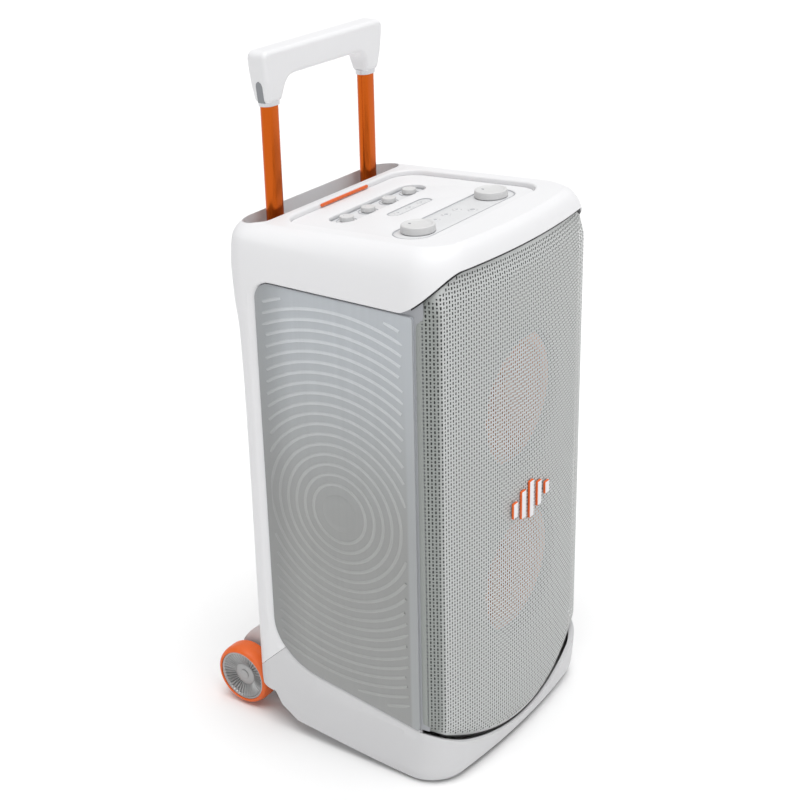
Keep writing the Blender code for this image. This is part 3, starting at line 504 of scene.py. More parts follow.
def soft_rubber(name, colour, roughness=0.62, dust=0.12):
    """Moulded rubber: dusty bloom over the colour and a soft pebbled skin."""
    material, nodes, links = blank(name)
    bloom = nodes.new("NodeFrame")
    bloom.label = "Dusty bloom"
    skin = nodes.new("NodeFrame")
    skin.label = "Pebbled skin"
    where = nodes.new("ShaderNodeTexCoord")
    where.label = "Position on the rubber"
    patches = nodes.new("ShaderNodeTexNoise")
    patches.label = "Where dust settles"
    limits = nodes.new("ShaderNodeMapRange")
    limits.label = "How much dust shows"
    shade = nodes.new("ShaderNodeMix")
    shade.label = "Rubber under its dust"
    pebbles = nodes.new("ShaderNodeTexVoronoi")
    pebbles.label = "Pebbles of the mould"
    bumps = nodes.new("ShaderNodeBump")
    bumps.label = "Pebbled relief"
    shader = nodes.new("ShaderNodeBsdfPrincipled")
    shader.label = "Rubber"
    output = nodes.new("ShaderNodeOutputMaterial")
    output.label = "Rubber piece"
    for node, parent, spot in ((where, None, (-1200, 0)), (patches, bloom, (-960, 200)),
                                (limits, bloom, (-740, 200)), (shade, bloom, (-500, 200)),
                                (pebbles, skin, (-960, -200)), (bumps, skin, (-500, -200)),
                                (shader, None, (-200, 100)), (output, None, (120, 100))):
        node.parent, node.location = parent, spot
    patches.inputs["Scale"].default_value = 60.0
    patches.inputs["Detail"].default_value = 6.0
    limits.inputs["From Min"].default_value = 0.45
    limits.inputs["From Max"].default_value = 0.80
    limits.inputs["To Max"].default_value = dust
    shade.data_type = "RGBA"
    shade.inputs[6].default_value = (*colour, 1)
    shade.inputs[7].default_value = (0.45, 0.43, 0.40, 1)
    pebbles.inputs["Scale"].default_value = 900.0
    bumps.inputs["Strength"].default_value = 0.25
    bumps.inputs["Distance"].default_value = 0.0005
    shader.inputs["Roughness"].default_value = roughness
    links.new(where.outputs["Object"], patches.inputs["Vector"])
    links.new(where.outputs["Object"], pebbles.inputs["Vector"])
    links.new(patches.outputs["Fac"], limits.inputs["Value"])
    links.new(limits.outputs["Result"], shade.inputs["Factor"])
    links.new(shade.outputs[2], shader.inputs["Base Color"])
    links.new(pebbles.outputs["Distance"], bumps.inputs["Height"])
    links.new(bumps.outputs["Normal"], shader.inputs["Normal"])
    links.new(shader.outputs["BSDF"], output.inputs["Surface"])
    return material


def frosted_cover(name, top, middle, edge):
    """Translucent light cover, switched off, in its own mid tone: painted light makes it paler at
    the top, painted shade darkens its rear edge.
    """
    material, nodes, links = blank(name)
    tone = nodes.new("NodeFrame")
    tone.label = "Cover tone with painted light and shade"
    frost = nodes.new("NodeFrame")
    frost.label = "Frosted moulding"
    where = nodes.new("ShaderNodeTexCoord")
    where.label = "Position on the cover"
    parts = nodes.new("ShaderNodeSeparateXYZ")
    parts.label = "Depth and height"
    up = nodes.new("ShaderNodeMapRange")
    up.label = "From the middle up to the top"
    back = nodes.new("ShaderNodeMapRange")
    back.label = "From the front to the rear edge"
    high = nodes.new("ShaderNodeMix")
    high.label = "Painted light towards the top"
    dim = nodes.new("ShaderNodeMix")
    dim.label = "Painted shade towards the rear"
    ahead = nodes.new("ShaderNodeMapRange")
    ahead.label = "Band along the front edge"
    band = nodes.new("ShaderNodeMix")
    band.label = "Paler band at the front"
    stretch = nodes.new("ShaderNodeMapping")
    stretch.label = "Drawn out upwards"
    streaks = nodes.new("ShaderNodeTexNoise")
    streaks.label = "Faint upright streaks of the diffuser"
    soft = nodes.new("ShaderNodeMapRange")
    soft.label = "Strength of the streaks"
    mix = nodes.new("ShaderNodeMix")
    mix.label = "Streaks over the tone"
    grain = nodes.new("ShaderNodeTexNoise")
    grain.label = "Frosting"
    bumps = nodes.new("ShaderNodeBump")
    bumps.label = "Frosted relief"
    shader = nodes.new("ShaderNodeBsdfPrincipled")
    shader.label = "Clear-coated cover"
    output = nodes.new("ShaderNodeOutputMaterial")
    output.label = "Light cover"
    for node, parent, spot in ((where, None, (-1900, 0)), (parts, tone, (-1660, 200)),
                                (up, tone, (-1420, 400)), (back, tone, (-1420, 120)),
                                (ahead, tone, (-1420, -160)), (high, tone, (-1180, 400)),
                                (dim, tone, (-940, 300)), (band, tone, (-700, 300)),
                                (stretch, tone, (-1420, -440)), (streaks, tone, (-1180, -440)),
                                (soft, tone, (-940, -440)), (mix, tone, (-460, 200)),
                                (grain, frost, (-700, -760)), (bumps, frost, (-460, -760)),
                                (shader, None, (-180, 100)), (output, None, (140, 100))):
        node.parent, node.location = parent, spot
    up.interpolation_type = "SMOOTHSTEP"
    up.inputs["From Min"].default_value = 0.30
    up.inputs["From Max"].default_value = 0.60
    back.interpolation_type = "SMOOTHSTEP"
    back.inputs["From Min"].default_value = 0.02
    back.inputs["From Max"].default_value = WINDOW_REAR_Y
    back.inputs["To Max"].default_value = 0.55
    ahead.inputs["From Min"].default_value = WINDOW_FRONT_Y + 0.013
    ahead.inputs["From Max"].default_value = WINDOW_FRONT_Y + 0.010
    ahead.inputs["To Max"].default_value = 0.35
    for layer in (high, dim, band, mix):
        layer.data_type = "RGBA"
    # middle is the cover's own tone; top is painted light and edge is painted shade
    high.inputs[6].default_value = (*middle, 1)
    high.inputs[7].default_value = (*top, 1)
    dim.inputs[7].default_value = (*edge, 1)
    band.inputs[7].default_value = (*top, 1)
    stretch.inputs["Scale"].default_value = (1.0, 160.0, 3.0)
    streaks.inputs["Scale"].default_value = 1.0
    streaks.inputs["Detail"].default_value = 2.0
    soft.inputs["To Max"].default_value = 0.16
    mix.inputs[7].default_value = (*edge, 1)
    grain.inputs["Scale"].default_value = 1800.0
    bumps.inputs["Strength"].default_value = 0.03
    bumps.inputs["Distance"].default_value = 0.0003
    shader.inputs["Roughness"].default_value = 0.34
    shader.inputs["Coat Weight"].default_value = 0.35
    shader.inputs["Coat Roughness"].default_value = 0.18
    links.new(where.outputs["Object"], parts.inputs["Vector"])
    links.new(parts.outputs["Z"], up.inputs["Value"])
    links.new(parts.outputs["Y"], back.inputs["Value"])
    links.new(parts.outputs["Y"], ahead.inputs["Value"])
    links.new(up.outputs["Result"], high.inputs["Factor"])
    links.new(back.outputs["Result"], dim.inputs["Factor"])
    links.new(high.outputs[2], dim.inputs[6])
    links.new(ahead.outputs["Result"], band.inputs["Factor"])
    links.new(dim.outputs[2], band.inputs[6])
    links.new(where.outputs["Object"], stretch.inputs["Vector"])
    links.new(stretch.outputs["Vector"], streaks.inputs["Vector"])
    links.new(streaks.outputs["Fac"], soft.inputs["Value"])
    links.new(soft.outputs["Result"], mix.inputs["Factor"])
    links.new(band.outputs[2], mix.inputs[6])
    links.new(mix.outputs[2], shader.inputs["Base Color"])
    links.new(where.outputs["Object"], grain.inputs["Vector"])
    links.new(grain.outputs["Fac"], bumps.inputs["Height"])
    links.new(bumps.outputs["Normal"], shader.inputs["Normal"])
    links.new(shader.outputs["BSDF"], output.inputs["Surface"])
    return material


def worked_metal(name, colour, roughness=0.30, pull=(1.0, 1.0, 0.02), metallic=1.0):
    """Drawn or brushed metal: fine lines along the pull, and faint handling smudges."""
    material, nodes, links = blank(name)
    lines = nodes.new("NodeFrame")
    lines.label = "Lines left by drawing"
    hands = nodes.new("NodeFrame")
    hands.label = "Handling smudges"
    where = nodes.new("ShaderNodeTexCoord")
    where.label = "Position on the metal"
    stretch = nodes.new("ShaderNodeMapping")
    stretch.label = "Drawn out along the pull"
    hair = nodes.new("ShaderNodeTexNoise")
    hair.label = "Hairlines"
    bumps = nodes.new("ShaderNodeBump")
    bumps.label = "Hairline relief"
    shade = nodes.new("ShaderNodeMix")
    shade.label = "Metal between its hairlines"
    smudge = nodes.new("ShaderNodeTexNoise")
    smudge.label = "Smudges"
    sheen = nodes.new("ShaderNodeMapRange")
    sheen.label = "Roughness of clean and smudged metal"
    shader = nodes.new("ShaderNodeBsdfPrincipled")
    shader.label = "Metal"
    output = nodes.new("ShaderNodeOutputMaterial")
    output.label = "Metal piece"
    for node, parent, spot in ((where, None, (-1300, 0)), (stretch, lines, (-1060, 200)),
                                (hair, lines, (-820, 200)), (bumps, lines, (-480, -60)),
                                (shade, lines, (-480, 240)), (smudge, hands, (-820, -360)),
                                (sheen, hands, (-480, -360)), (shader, None, (-200, 100)),
                                (output, None, (120, 100))):
        node.parent, node.location = parent, spot
    stretch.inputs["Scale"].default_value = pull
    hair.inputs["Scale"].default_value = 1400.0
    hair.inputs["Detail"].default_value = 3.0
    bumps.inputs["Strength"].default_value = 0.05
    bumps.inputs["Distance"].default_value = 0.0003
    shade.data_type = "RGBA"
    shade.inputs[6].default_value = (*(c * 0.94 for c in colour), 1)
    shade.inputs[7].default_value = (*(min(c * 1.06, 1) for c in colour), 1)
    smudge.inputs["Scale"].default_value = 18.0
    smudge.inputs["Detail"].default_value = 4.0
    sheen.inputs["To Min"].default_value = roughness - 0.04
    sheen.inputs["To Max"].default_value = roughness + 0.08
    shader.inputs["Metallic"].default_value = metallic
    links.new(where.outputs["Object"], stretch.inputs["Vector"])
    links.new(stretch.outputs["Vector"], hair.inputs["Vector"])
    links.new(hair.outputs["Fac"], bumps.inputs["Height"])
    links.new(hair.outputs["Fac"], shade.inputs["Factor"])
    links.new(bumps.outputs["Normal"], shader.inputs["Normal"])
    links.new(shade.outputs[2], shader.inputs["Base Color"])
    links.new(where.outputs["Object"], smudge.inputs["Vector"])
    links.new(smudge.outputs["Fac"], sheen.inputs["Value"])
    links.new(sheen.outputs["Result"], shader.inputs["Roughness"])
    links.new(shader.outputs["BSDF"], output.inputs["Surface"])
    return material


def pressed_fibre(name, colour, flecks, roughness=0.75, scale=300.0, painted_glow=0.0):
    """Pressed pulp, chipboard or laminate: two-tone flecks in a matt surface, with an optional
    painted glow from emission.
    """
    material, nodes, links = blank(name)
    fibres = nodes.new("NodeFrame")
    fibres.label = "Fibres and flecks"
    where = nodes.new("ShaderNodeTexCoord")
    where.label = "Position on the board"
    mat = nodes.new("ShaderNodeTexNoise")
    mat.label = "Matted fibres"
    ends = nodes.new("ShaderNodeMapRange")
    ends.label = "How sharply the flecks show"
    shade = nodes.new("ShaderNodeMix")
    shade.label = "Base and flecks"
    bumps = nodes.new("ShaderNodeBump")
    bumps.label = "Fibre relief"
    shader = nodes.new("ShaderNodeBsdfPrincipled")
    shader.label = "Pressed fibre"
    output = nodes.new("ShaderNodeOutputMaterial")
    output.label = "Fibre piece"
    for node, parent, spot in ((where, None, (-1200, 0)), (mat, fibres, (-960, 0)),
                                (ends, fibres, (-720, 160)), (shade, fibres, (-480, 160)),
                                (bumps, fibres, (-480, -160)), (shader, None, (-200, 100)),
                                (output, None, (120, 100))):
        node.parent, node.location = parent, spot
    mat.inputs["Scale"].default_value = scale
    mat.inputs["Detail"].default_value = 5.0
    ends.inputs["From Min"].default_value = 0.40
    ends.inputs["From Max"].default_value = 0.65
    shade.data_type = "RGBA"
    shade.inputs[6].default_value = (*colour, 1)
    shade.inputs[7].default_value = (*flecks, 1)
    bumps.inputs["Strength"].default_value = 0.15
    bumps.inputs["Distance"].default_value = 0.0004
    shader.inputs["Roughness"].default_value = roughness
    # emission here is a painted glow, not a lamp
    shader.inputs["Emission Color"].default_value = (*colour, 1)
    shader.inputs["Emission Strength"].default_value = painted_glow
    links.new(where.outputs["Object"], mat.inputs["Vector"])
    links.new(mat.outputs["Fac"], ends.inputs["Value"])
    links.new(mat.outputs["Fac"], bumps.inputs["Height"])
    links.new(ends.outputs["Result"], shade.inputs["Factor"])
    links.new(shade.outputs[2], shader.inputs["Base Color"])
    links.new(bumps.outputs["Normal"], shader.inputs["Normal"])
    links.new(shader.outputs["BSDF"], output.inputs["Surface"])
    return material


def coated_sheet(name, colour, shaded):
    """Powder-coated perforated steel: speckled coat, with painted shade darkening the bent sides.
    """
    material, nodes, links = blank(name)
    tone = nodes.new("NodeFrame")
    tone.label = "Coat with painted shade on the bent sides"
    coat = nodes.new("NodeFrame")
    coat.label = "Powder coat"
    where = nodes.new("ShaderNodeTexCoord")
    where.label = "Position on the sheet"
    parts = nodes.new("ShaderNodeSeparateXYZ")
    parts.label = "Distance across the front"
    either = nodes.new("ShaderNodeMath")
    either.label = "Same on both sides"
    bend = nodes.new("ShaderNodeMapRange")
    bend.label = "From the crease to the side"
    shade = nodes.new("ShaderNodeMix")
    shade.label = "Face and painted shade of the bent side"
    speck = nodes.new("ShaderNodeTexNoise")
    speck.label = "Specks of powder"
    dapple = nodes.new("ShaderNodeMix")
    dapple.label = "Specks over the tone"
    peel = nodes.new("ShaderNodeBump")
    peel.label = "Orange-peel relief"
    shader = nodes.new("ShaderNodeBsdfPrincipled")
    shader.label = "Coated steel"
    output = nodes.new("ShaderNodeOutputMaterial")
    output.label = "Grille"
    for node, parent, spot in ((where, None, (-1500, 0)), (parts, tone, (-1260, 200)),
                                (either, tone, (-1040, 200)), (bend, tone, (-820, 200)),
                                (shade, tone, (-600, 200)), (speck, coat, (-820, -200)),
                                (dapple, coat, (-380, -40)), (peel, coat, (-380, -300)),
                                (shader, None, (-120, 100)), (output, None, (200, 100))):
        node.parent, node.location = parent, spot
    either.operation = "ABSOLUTE"
    # mask of the painted shade, from the crease out to the bent side
    bend.inputs["From Min"].default_value = 0.1500
    bend.inputs["From Max"].default_value = 0.1550
    for mix in (shade, dapple):
        mix.data_type = "RGBA"
    # the second colour is painted shade on the bent sides
    shade.inputs[6].default_value = (*colour, 1)
    shade.inputs[7].default_value = (*shaded, 1)
    speck.inputs["Scale"].default_value = 1600.0
    dapple.blend_type = "MULTIPLY"
    dapple.inputs["Factor"].default_value = 0.12
    peel.inputs["Strength"].default_value = 0.10
    peel.inputs["Distance"].default_value = 0.0003
    shader.inputs["Roughness"].default_value = 0.44
    links.new(where.outputs["Object"], parts.inputs["Vector"])
    links.new(parts.outputs["X"], either.inputs[0])
    links.new(either.outputs["Value"], bend.inputs["Value"])
    links.new(bend.outputs["Result"], shade.inputs["Factor"])
    links.new(where.outputs["Object"], speck.inputs["Vector"])
    links.new(shade.outputs[2], dapple.inputs[6])
    links.new(speck.outputs["Color"], dapple.inputs[7])
    links.new(dapple.outputs[2], shader.inputs["Base Color"])
    links.new(speck.outputs["Fac"], peel.inputs["Height"])
    links.new(peel.outputs["Normal"], shader.inputs["Normal"])
    links.new(shader.outputs["BSDF"], output.inputs["Surface"])
    return material


FINISH = {}


def mix_finishes():
    """Every finish of the speaker, by its slot name, with a few further shades."""
    chosen = bpy.context.scene.speaker_finishes
    shell, accent = tuple(chosen.shell), tuple(chosen.accent)
    FINISH.update(
        white_plastic=moulded_plastic("white plastic", shell, 0.44),
        # the tray is the shell's plastic darkened by a fifth: painted shade on the low part
        tray_plastic=moulded_plastic("tray plastic with painted shade", tuple(c * 0.80 for c in shell), 0.50),
        deck_plastic=moulded_plastic("deck plastic", tuple(c * 0.97 for c in shell), 0.50),
        grey_plastic=moulded_plastic("grey plastic", (0.255, 0.265, 0.28), 0.48),
        pale_fascia=moulded_plastic("pale fascia", (0.70, 0.705, 0.715), 0.34, 0.02),
        outline_grey=moulded_plastic("outline grey", (0.34, 0.35, 0.37), 0.50),
        soft_outline=moulded_plastic("soft outline", (0.47, 0.48, 0.50), 0.50),
        knob_plastic=moulded_plastic("knob plastic", (0.66, 0.66, 0.66), 0.42),
        dark_plastic=moulded_plastic("dark plastic", (0.030, 0.030, 0.034), 0.50, 0.10),
        hub_plastic=worked_metal("wheel disc paint", (0.40, 0.40, 0.40), 0.34, (1, 1, 1),
                                 0.7),
        # light cover colours: painted light at the top, own mid tone, painted shade at the rear
        light_lens=frosted_cover("light cover", (0.48, 0.51, 0.54), (0.300, 0.306, 0.299),
                                 (0.172, 0.177, 0.177)),
        # the rings' copy of the cover finish, lighter all over, is a painted highlight on the
        # rings
        bead_lens=frosted_cover("light cover rings", (0.65, 0.68, 0.71), (0.365, 0.371, 0.364),
                                (0.200, 0.205, 0.205)),
        # the grille's second colour is painted shade for its bent sides
        pale_grille=coated_sheet("coated grille", tuple(chosen.grille), (0.31, 0.33, 0.315)),
        black_rubber=soft_rubber("black rubber", (0.020, 0.020, 0.022)),
        orange_rubber=soft_rubber("orange rubber", accent, 0.5, 0.08),
        orange_anodised=worked_metal("anodised tube", tuple(chosen.tube), 0.20),
        satin_metal=worked_metal("satin metal", (0.62, 0.62, 0.64), 0.30, (1.0, 0.02, 1.0)),
        steel=worked_metal("steel", (0.50, 0.50, 0.52), 0.34, (0.02, 1.0, 1.0)),
        # the cone's 0.03 emission is a painted glow
        orange_cone=pressed_fibre("speaker cone", (0.52, 0.19, 0.055), (0.62, 0.26, 0.09), 0.6,
                                  220.0, 0.03),
        board_green=pressed_fibre("circuit board", (0.02, 0.12, 0.05), (0.05, 0.20, 0.09),
                                  0.4, 120.0),
        cabinet_board=pressed_fibre("chipboard", (0.060, 0.052, 0.045), (0.11, 0.10, 0.085)),
        liner_cloth=pressed_fibre("acoustic cloth", (0.105, 0.110, 0.108),
                                  (0.170, 0.176, 0.173), 0.9, 900.0),
    )


def dress_frame():
    """Gives every node of the frame the finish that its slot names."""
    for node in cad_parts.values():
        for held in node.material_slots:
            held.material = FINISH[held.material.name.split(".")[0]]


# ---- pieces ---------------------------------------------------------------------------------

def hood_ring(height, side, front, rear, tilt=True):
    """The cabinet's outline at a height; the top of the hood leans towards the rear."""
    share = min(max((height - TILT_FROM_Z) / (TOP_Z - TILT_FROM_Z), 0), 1) if tilt else 0
    return [(x, y, height - share * TOP_SLOPE * (y - TOP_PIVOT_Y))
            for x, y in plan(FULL_PLAN, max(side, 0), max(front, 0), rear)]


def window_cutter(name, front_y, bevel, outer_x=HALF_WIDTH):
    """Solid of the side windows, right across the cabinet, flared where it meets the skin."""
    outline = window(front_y)
    run = np.roll(outline, -1, 0) - np.roll(outline, 1, 0)
    run /= np.linalg.norm(run, axis=1)[:, None]
    back, up = run[:, 1], -run[:, 0]                 # outward normal in (y, z)
    amount = np.interp(up, (0.3, 0.8), (bevel, 0.0022)) * np.interp(back, (-0.9, -0.4), (0, 1))
    flare, depth = grown(outline, amount), bevel / 3
    rings = []
    for x, points in ((-0.2, flare), (-outer_x, flare), (depth - outer_x, outline)):
        rings.append([(x, y, z) for y, z in points])
    rings += [[(-x, y, z) for x, y, z in ring] for ring in reversed(rings)]
    return cutter(name, rings)


def below_seam(name, gap):
    """What lies under the slanted joint between the rear column and the tray."""
    outline = ((-0.30, -0.10), (0.2, -0.10), (0.2, seam(0.2) + gap), (SEAM_Y, SEAM_Z + gap),
               (0.040, 0.170), (-0.30, 0.170))
    return through(name, "X", outline, -0.2, 0.2)


def wells():
    return [through(f"well {side}", "X", oval(WHEEL_Y, WHEEL_Z, 0.0445, 72),
                    sign * TAIL_HALF_X, sign * 0.19) for side, sign in SIDES]


def flared(outline, top, deep, radius, steps=5):
    """Upright cutter whose mouth is rounded over into the sloping top; heights at the pivot."""
    rings = []
    for height, grow in ([(-deep, 0.0)] + [(radius * (math.sin(a) - 1), radius * (1 - math.cos(a)))
                                           for a in np.linspace(0, math.pi / 2, steps + 1)]
                         + [(0.012, radius)]):
        rings.append([(x, y, top + height - TOP_SLOPE * (y - TOP_PIVOT_Y))
                      for x, y in grown(outline, grow)])
    return rings


def sweep_line():
    """The cabinet's front from side to side, where the hood's lower edge is swept."""
    half = HALF_PLAN[corner_distance(HALF_PLAN[:, 0], HALF_PLAN[:, 1]) > SWEEP_START]
    full = np.concatenate([(half * (-1, 1))[:0:-1], half])
    return [(x, y, float(z)) for (x, y), z in zip(full, hood_edge(full[:, 0], full[:, 1]))]


class SPEAKER_OT_hood(bpy.types.Operator):
    """Build the moulded hood with its recess, trough and swept edges"""
    bl_idname = "speaker.hood"
    bl_label = "Hood"

    def execute(self, context):
        sizes = context.scene.speaker_sizes
        hood = make("hood_shell", loft([hood_ring(*row) for row in knots_between(HOOD_KNOTS, 5)]),
                    FINISH["white_plastic"])
        # inner skin: height, side inset, front inset, rear plane
        inner = [(0.050, 0.0035, 0.0035, 0.1140), (0.528, 0.0035, 0.0035, 0.1140),
                 (0.565, 0.0035, 0.0035, 0.1185), (0.600, 0.0035, 0.0035, 0.1205),
                 (0.628, 0.0075, 0.0060, 0.1205), (0.642, 0.0150, 0.0110, 0.1200)]
        inside = cutter("hood inside", [hood_ring(*row, tilt=False) for row in inner])
        front = cutter("hood front", [[
            (x * scale, y * scale, z) for scale, z in ((0.90, 0.02), (1.03, 0.02),
                                                       (1.03, edge), (0.90, edge))]
            for x, y, edge in sweep_line()])
        opening = slab(-0.128, 0.135, 0.128, 0.585, 0.012)
        rear = through("hood rear", "Y", opening, 0.085, 0.2)
        carve(hood, [inside, window_cutter("hood windows", -0.30, sizes.window_bevel), front,
                     rear, below_seam("hood seam", SEAM_GAP)] + wells())
        hood.modifiers.clear()
        left, low, right, high = RECESS
        recess = make("recess", loft(flared(slab(left, low, right, high, 0.032, steps=12), TOP_Z,
                                            TOP_Z - DECK_Z + 0.0043, sizes.edge_round)), None)
        deck_hole = through("deck hole", "Z", slab(-0.108, -0.114, 0.108, 0.058, 0.02), 0.62,
                            0.70)
        middle, half = sum(TROUGH_Y) / 2, (TROUGH_Y[1] - TROUGH_Y[0]) / 2
        tub = through("tub", "Z", pill(middle, TROUGH_HALF_X, half, 0.0033), 0.5967, 0.6455)
        trough = flared(pill(middle, TROUGH_HALF_X, half), TOP_Z, 0.03,
                        sizes.edge_round / 2)
        floor = [(x, y, TROUGH_FLOOR_Z) for x, y, _ in trough[0]]
        trough = make("trough", loft([floor] + trough), None)
        holes = [through(f"hole {side}", "Z", tube_outline(sign, 0.0006), 0.55, 0.65)
                 for side, sign in SIDES]
        carve(hood, [recess, deck_hole, trough] + holes, [tub])
        fit(hood, "cabinet", "hood")
        return {"FINISHED"}


class SPEAKER_OT_tray(bpy.types.Operator):
    """Build the moulded tray with its swept lip, tail and wheel wells"""
    bl_idname = "speaker.tray"
    bl_label = "Bottom tray"

    def execute(self, context):
        bevel = context.scene.speaker_sizes.window_bevel
        foot = 0.020                                 # height of the rounded foot
        rows = [(z, foot / 2 * (1 - math.sqrt(1 - (1 - z / foot) ** 2)))
                for z in np.linspace(0, foot, 9)]
        rows += [(z, 0.0) for z in (0.030, 0.040, 0.050, 0.060, 0.070, 0.180)]
        # the tray takes the darkened shell plastic, painted shade
        tray = make("tray_shell", loft([
            hood_ring(z, inset, inset + 0.007 * max(1 - z / 0.07, 0) ** 2, REAR_Y, False)
            for z, inset in rows]), FINISH["tray_plastic"])
        keel = np.array([(-0.25, 0.003), (-0.1225, 0.003), (0.048, 0.021), (0.0715, 0.036),
                         (0.081, 0.052), (0.14, 0.058)])
        above = [tuple(p) for p in keel + (0, 0.0035)] + [(0.14, 0.2), (-0.25, 0.2)]
        room = cutter("tray room", [hood_ring(z, 0.006, 0.006, 0.096, False)
                                    for z in (0.002, 0.2)])
        keep = through("tray keep", "X", above, -0.25, 0.25)
        both = room.modifiers.new("keep", "BOOLEAN")
        both.operation, both.object = "INTERSECT", keep
        settle(room, [keep])
        under = [tuple(p) for p in keel] + [(0.14, -0.05), (-0.25, -0.05)]
        under = through("tray under", "X", under, -0.25, 0.25)
        front_y = WINDOW_FRONT_Y + 0.0004
        over = through("tray over", "X", (
            (front_y, 0.17), (0.040, 0.17), (SEAM_Y, SEAM_Z - SEAM_GAP),
            (0.2, seam(0.2) - SEAM_GAP), (0.2, 0.30), (front_y, 0.30)), -0.2, 0.2)
        brim = [(x, float(lip(x))) for x in np.linspace(-0.2, 0.2, 81)]
        brim = through("tray brim", "Y", brim + [(0.2, 0.30), (-0.2, 0.30)], -0.30,
                       WINDOW_FRONT_Y + 0.0006)
        tail = through("tail", "X", arc_profile([
            (0.100, 0.060, 0), (0.105, 0.068, 0), (0.1178, 0.0688, 0), (0.1178, 0.120, 0),
            (0.150, 0.098, 0.010), (0.168, 0.076, 0.009), (0.172, 0.052, 0.008),
            (0.166, 0.034, 0.007), (0.150, 0.026, 0.007), (0.118, 0.040, 0.008),
            (0.100, 0.0575, 0)]), -TAIL_HALF_X, TAIL_HALF_X)
        bore = through("bore", "X", oval(WHEEL_Y, WHEEL_Z, 0.0043, 24), -0.2, 0.2)
        carve(tray, [room, under, window_cutter("tray windows", WINDOW_FRONT_Y, bevel), over,
                     brim])
        tray.modifiers.clear()
        carve(tray, wells() + [bore], [tail])
        fit(tray, "cabinet", "bottom_tray")
        return {"FINISHED"}


def light_field(y, z, edge):
    """How far a spot lies inside the part of a light cover that carries rings, 0 to 1."""
    depth = min(y - WINDOW_FRONT_Y - 0.013, WINDOW_REAR_Y - 0.009 - y,
                z - sill(y) - 0.012, WINDOW_TOP_Z - 0.012 - z)
    return min(max(depth / edge, 0.0), 1.0)


class SPEAKER_OT_light_covers(bpy.types.Operator):
    """Build the side light covers with their moulded rings"""
    bl_idname = "speaker.light_covers"
    bl_label = "Light covers"

    HUB_Y, HUB_Z, DISC_R = -0.030, 0.335, 0.0245     # plain disc inside the rings
    FACE_X = 0.1655
    RINGS = 25

    def execute(self, context):
        for side, sign in SIDES:
            self.cover(side, sign, context.scene.speaker_sizes.ring_pitch)
            self.lining(side, sign)
            self.reveal(side, sign)
        return {"FINISHED"}

    def spot(self, data, sign, radius, angle, height):
        """Vertex on the cover's face, placed round the middle of its rings."""
        return data.verts.new((sign * (self.FACE_X + height),
                               self.HUB_Y + radius * math.cos(angle),
                               self.HUB_Z + radius * math.sin(angle)))

    def cover(self, side, sign, pitch):
        layers = ((0.1605, 0.0006), (0.1648, 0.0006), (0.1652, 0.0008), (0.1655, 0.0014))
        data = loft([[(sign * x, y, z) for y, z in window(inset=inset)] for x, inset in layers])
        for i in range(1, self.RINGS + 1):
            radius = self.DISC_R + pitch * i
            steps = max(24, int(radius * 900))
            run = []
            for k in range(steps + 2):
                a = 2 * math.pi * k / steps
                share = light_field(self.HUB_Y + radius * math.cos(a),
                                    self.HUB_Z + radius * math.sin(a), 0.003)
                if share > 0 and k <= steps:
                    run.append((a, share))
                    continue
                if len(run) > 3:
                    self.bead(data, sign, radius, run)
                run = []
        rows = [[self.spot(data, sign, 0, 0, 0.0009)] * 72]
        for part, height in ((0.6, 0.0008), (0.92, 0.0005), (0.96, -0.0001)):
            rows.append([self.spot(data, sign, self.DISC_R * part, a, height)
                         for a in np.linspace(0, 2 * math.pi, 72, endpoint=False)])
        bridge(data, rows)
        cover = make(f"light_cover_{side}", data, FINISH["light_lens"], 40)
        # second finish: the rings' painted highlight
        cover.data.materials.append(FINISH["bead_lens"])
        fit(cover, "cabinet", f"light_panel_{side}")

    def bead(self, data, sign, radius, run):
        """One stretch of a ring, tapered to nothing where it ends."""
        rows = []
        for a, share in run:
            width = 0.0044 * (0.35 + 0.65 * share)
            rows.append([self.spot(data, sign, radius + (k / 4 - 0.5) * width, a,
                                   0.00095 * rise * share - 0.0001)
                         for k, rise in enumerate((0.0, 0.45, 1.0, 0.92, 0.0))])
        # the rings take the lighter second finish, a painted highlight
        for face in bridge(data, rows, tube=False):
            face.material_index = 1

    def lining(self, side, sign):
        """Grey lining of the front corner, between the cover, the grille and the hood."""
        far = corner_distance(HALF_PLAN[:, 0], HALF_PLAN[:, 1])
        rings = []
        for x, y in HALF_PLAN[(far > -0.030) & (far < 0.022)]:
            foot, head = sill(y) + 0.003, float(hood_edge(x, y)) + 0.004
            rings.append([(sign * x * part, y * part, z) for part, z in (
                (0.983, foot), (0.983, head), (0.975, head), (0.975, foot))])
        lining = make(f"corner_lining_{side}", loft(rings), FINISH["outline_grey"])
        fit(lining, "cabinet")

    def reveal(self, side, sign):
        """Thin dark line round the cover."""
        outer, inner = window(inset=0.0005), window(inset=0.0016)
        rings = [[(sign * x, y, z) for y, z in points]
                 for x, points in ((0.1645, outer), (0.16535, outer), (0.16535, inner),
                                   (0.1645, inner))]
        reveal = make(f"cover_reveal_{side}", loft(rings, closed=True), FINISH["outline_grey"])
        fit(reveal, "cabinet")


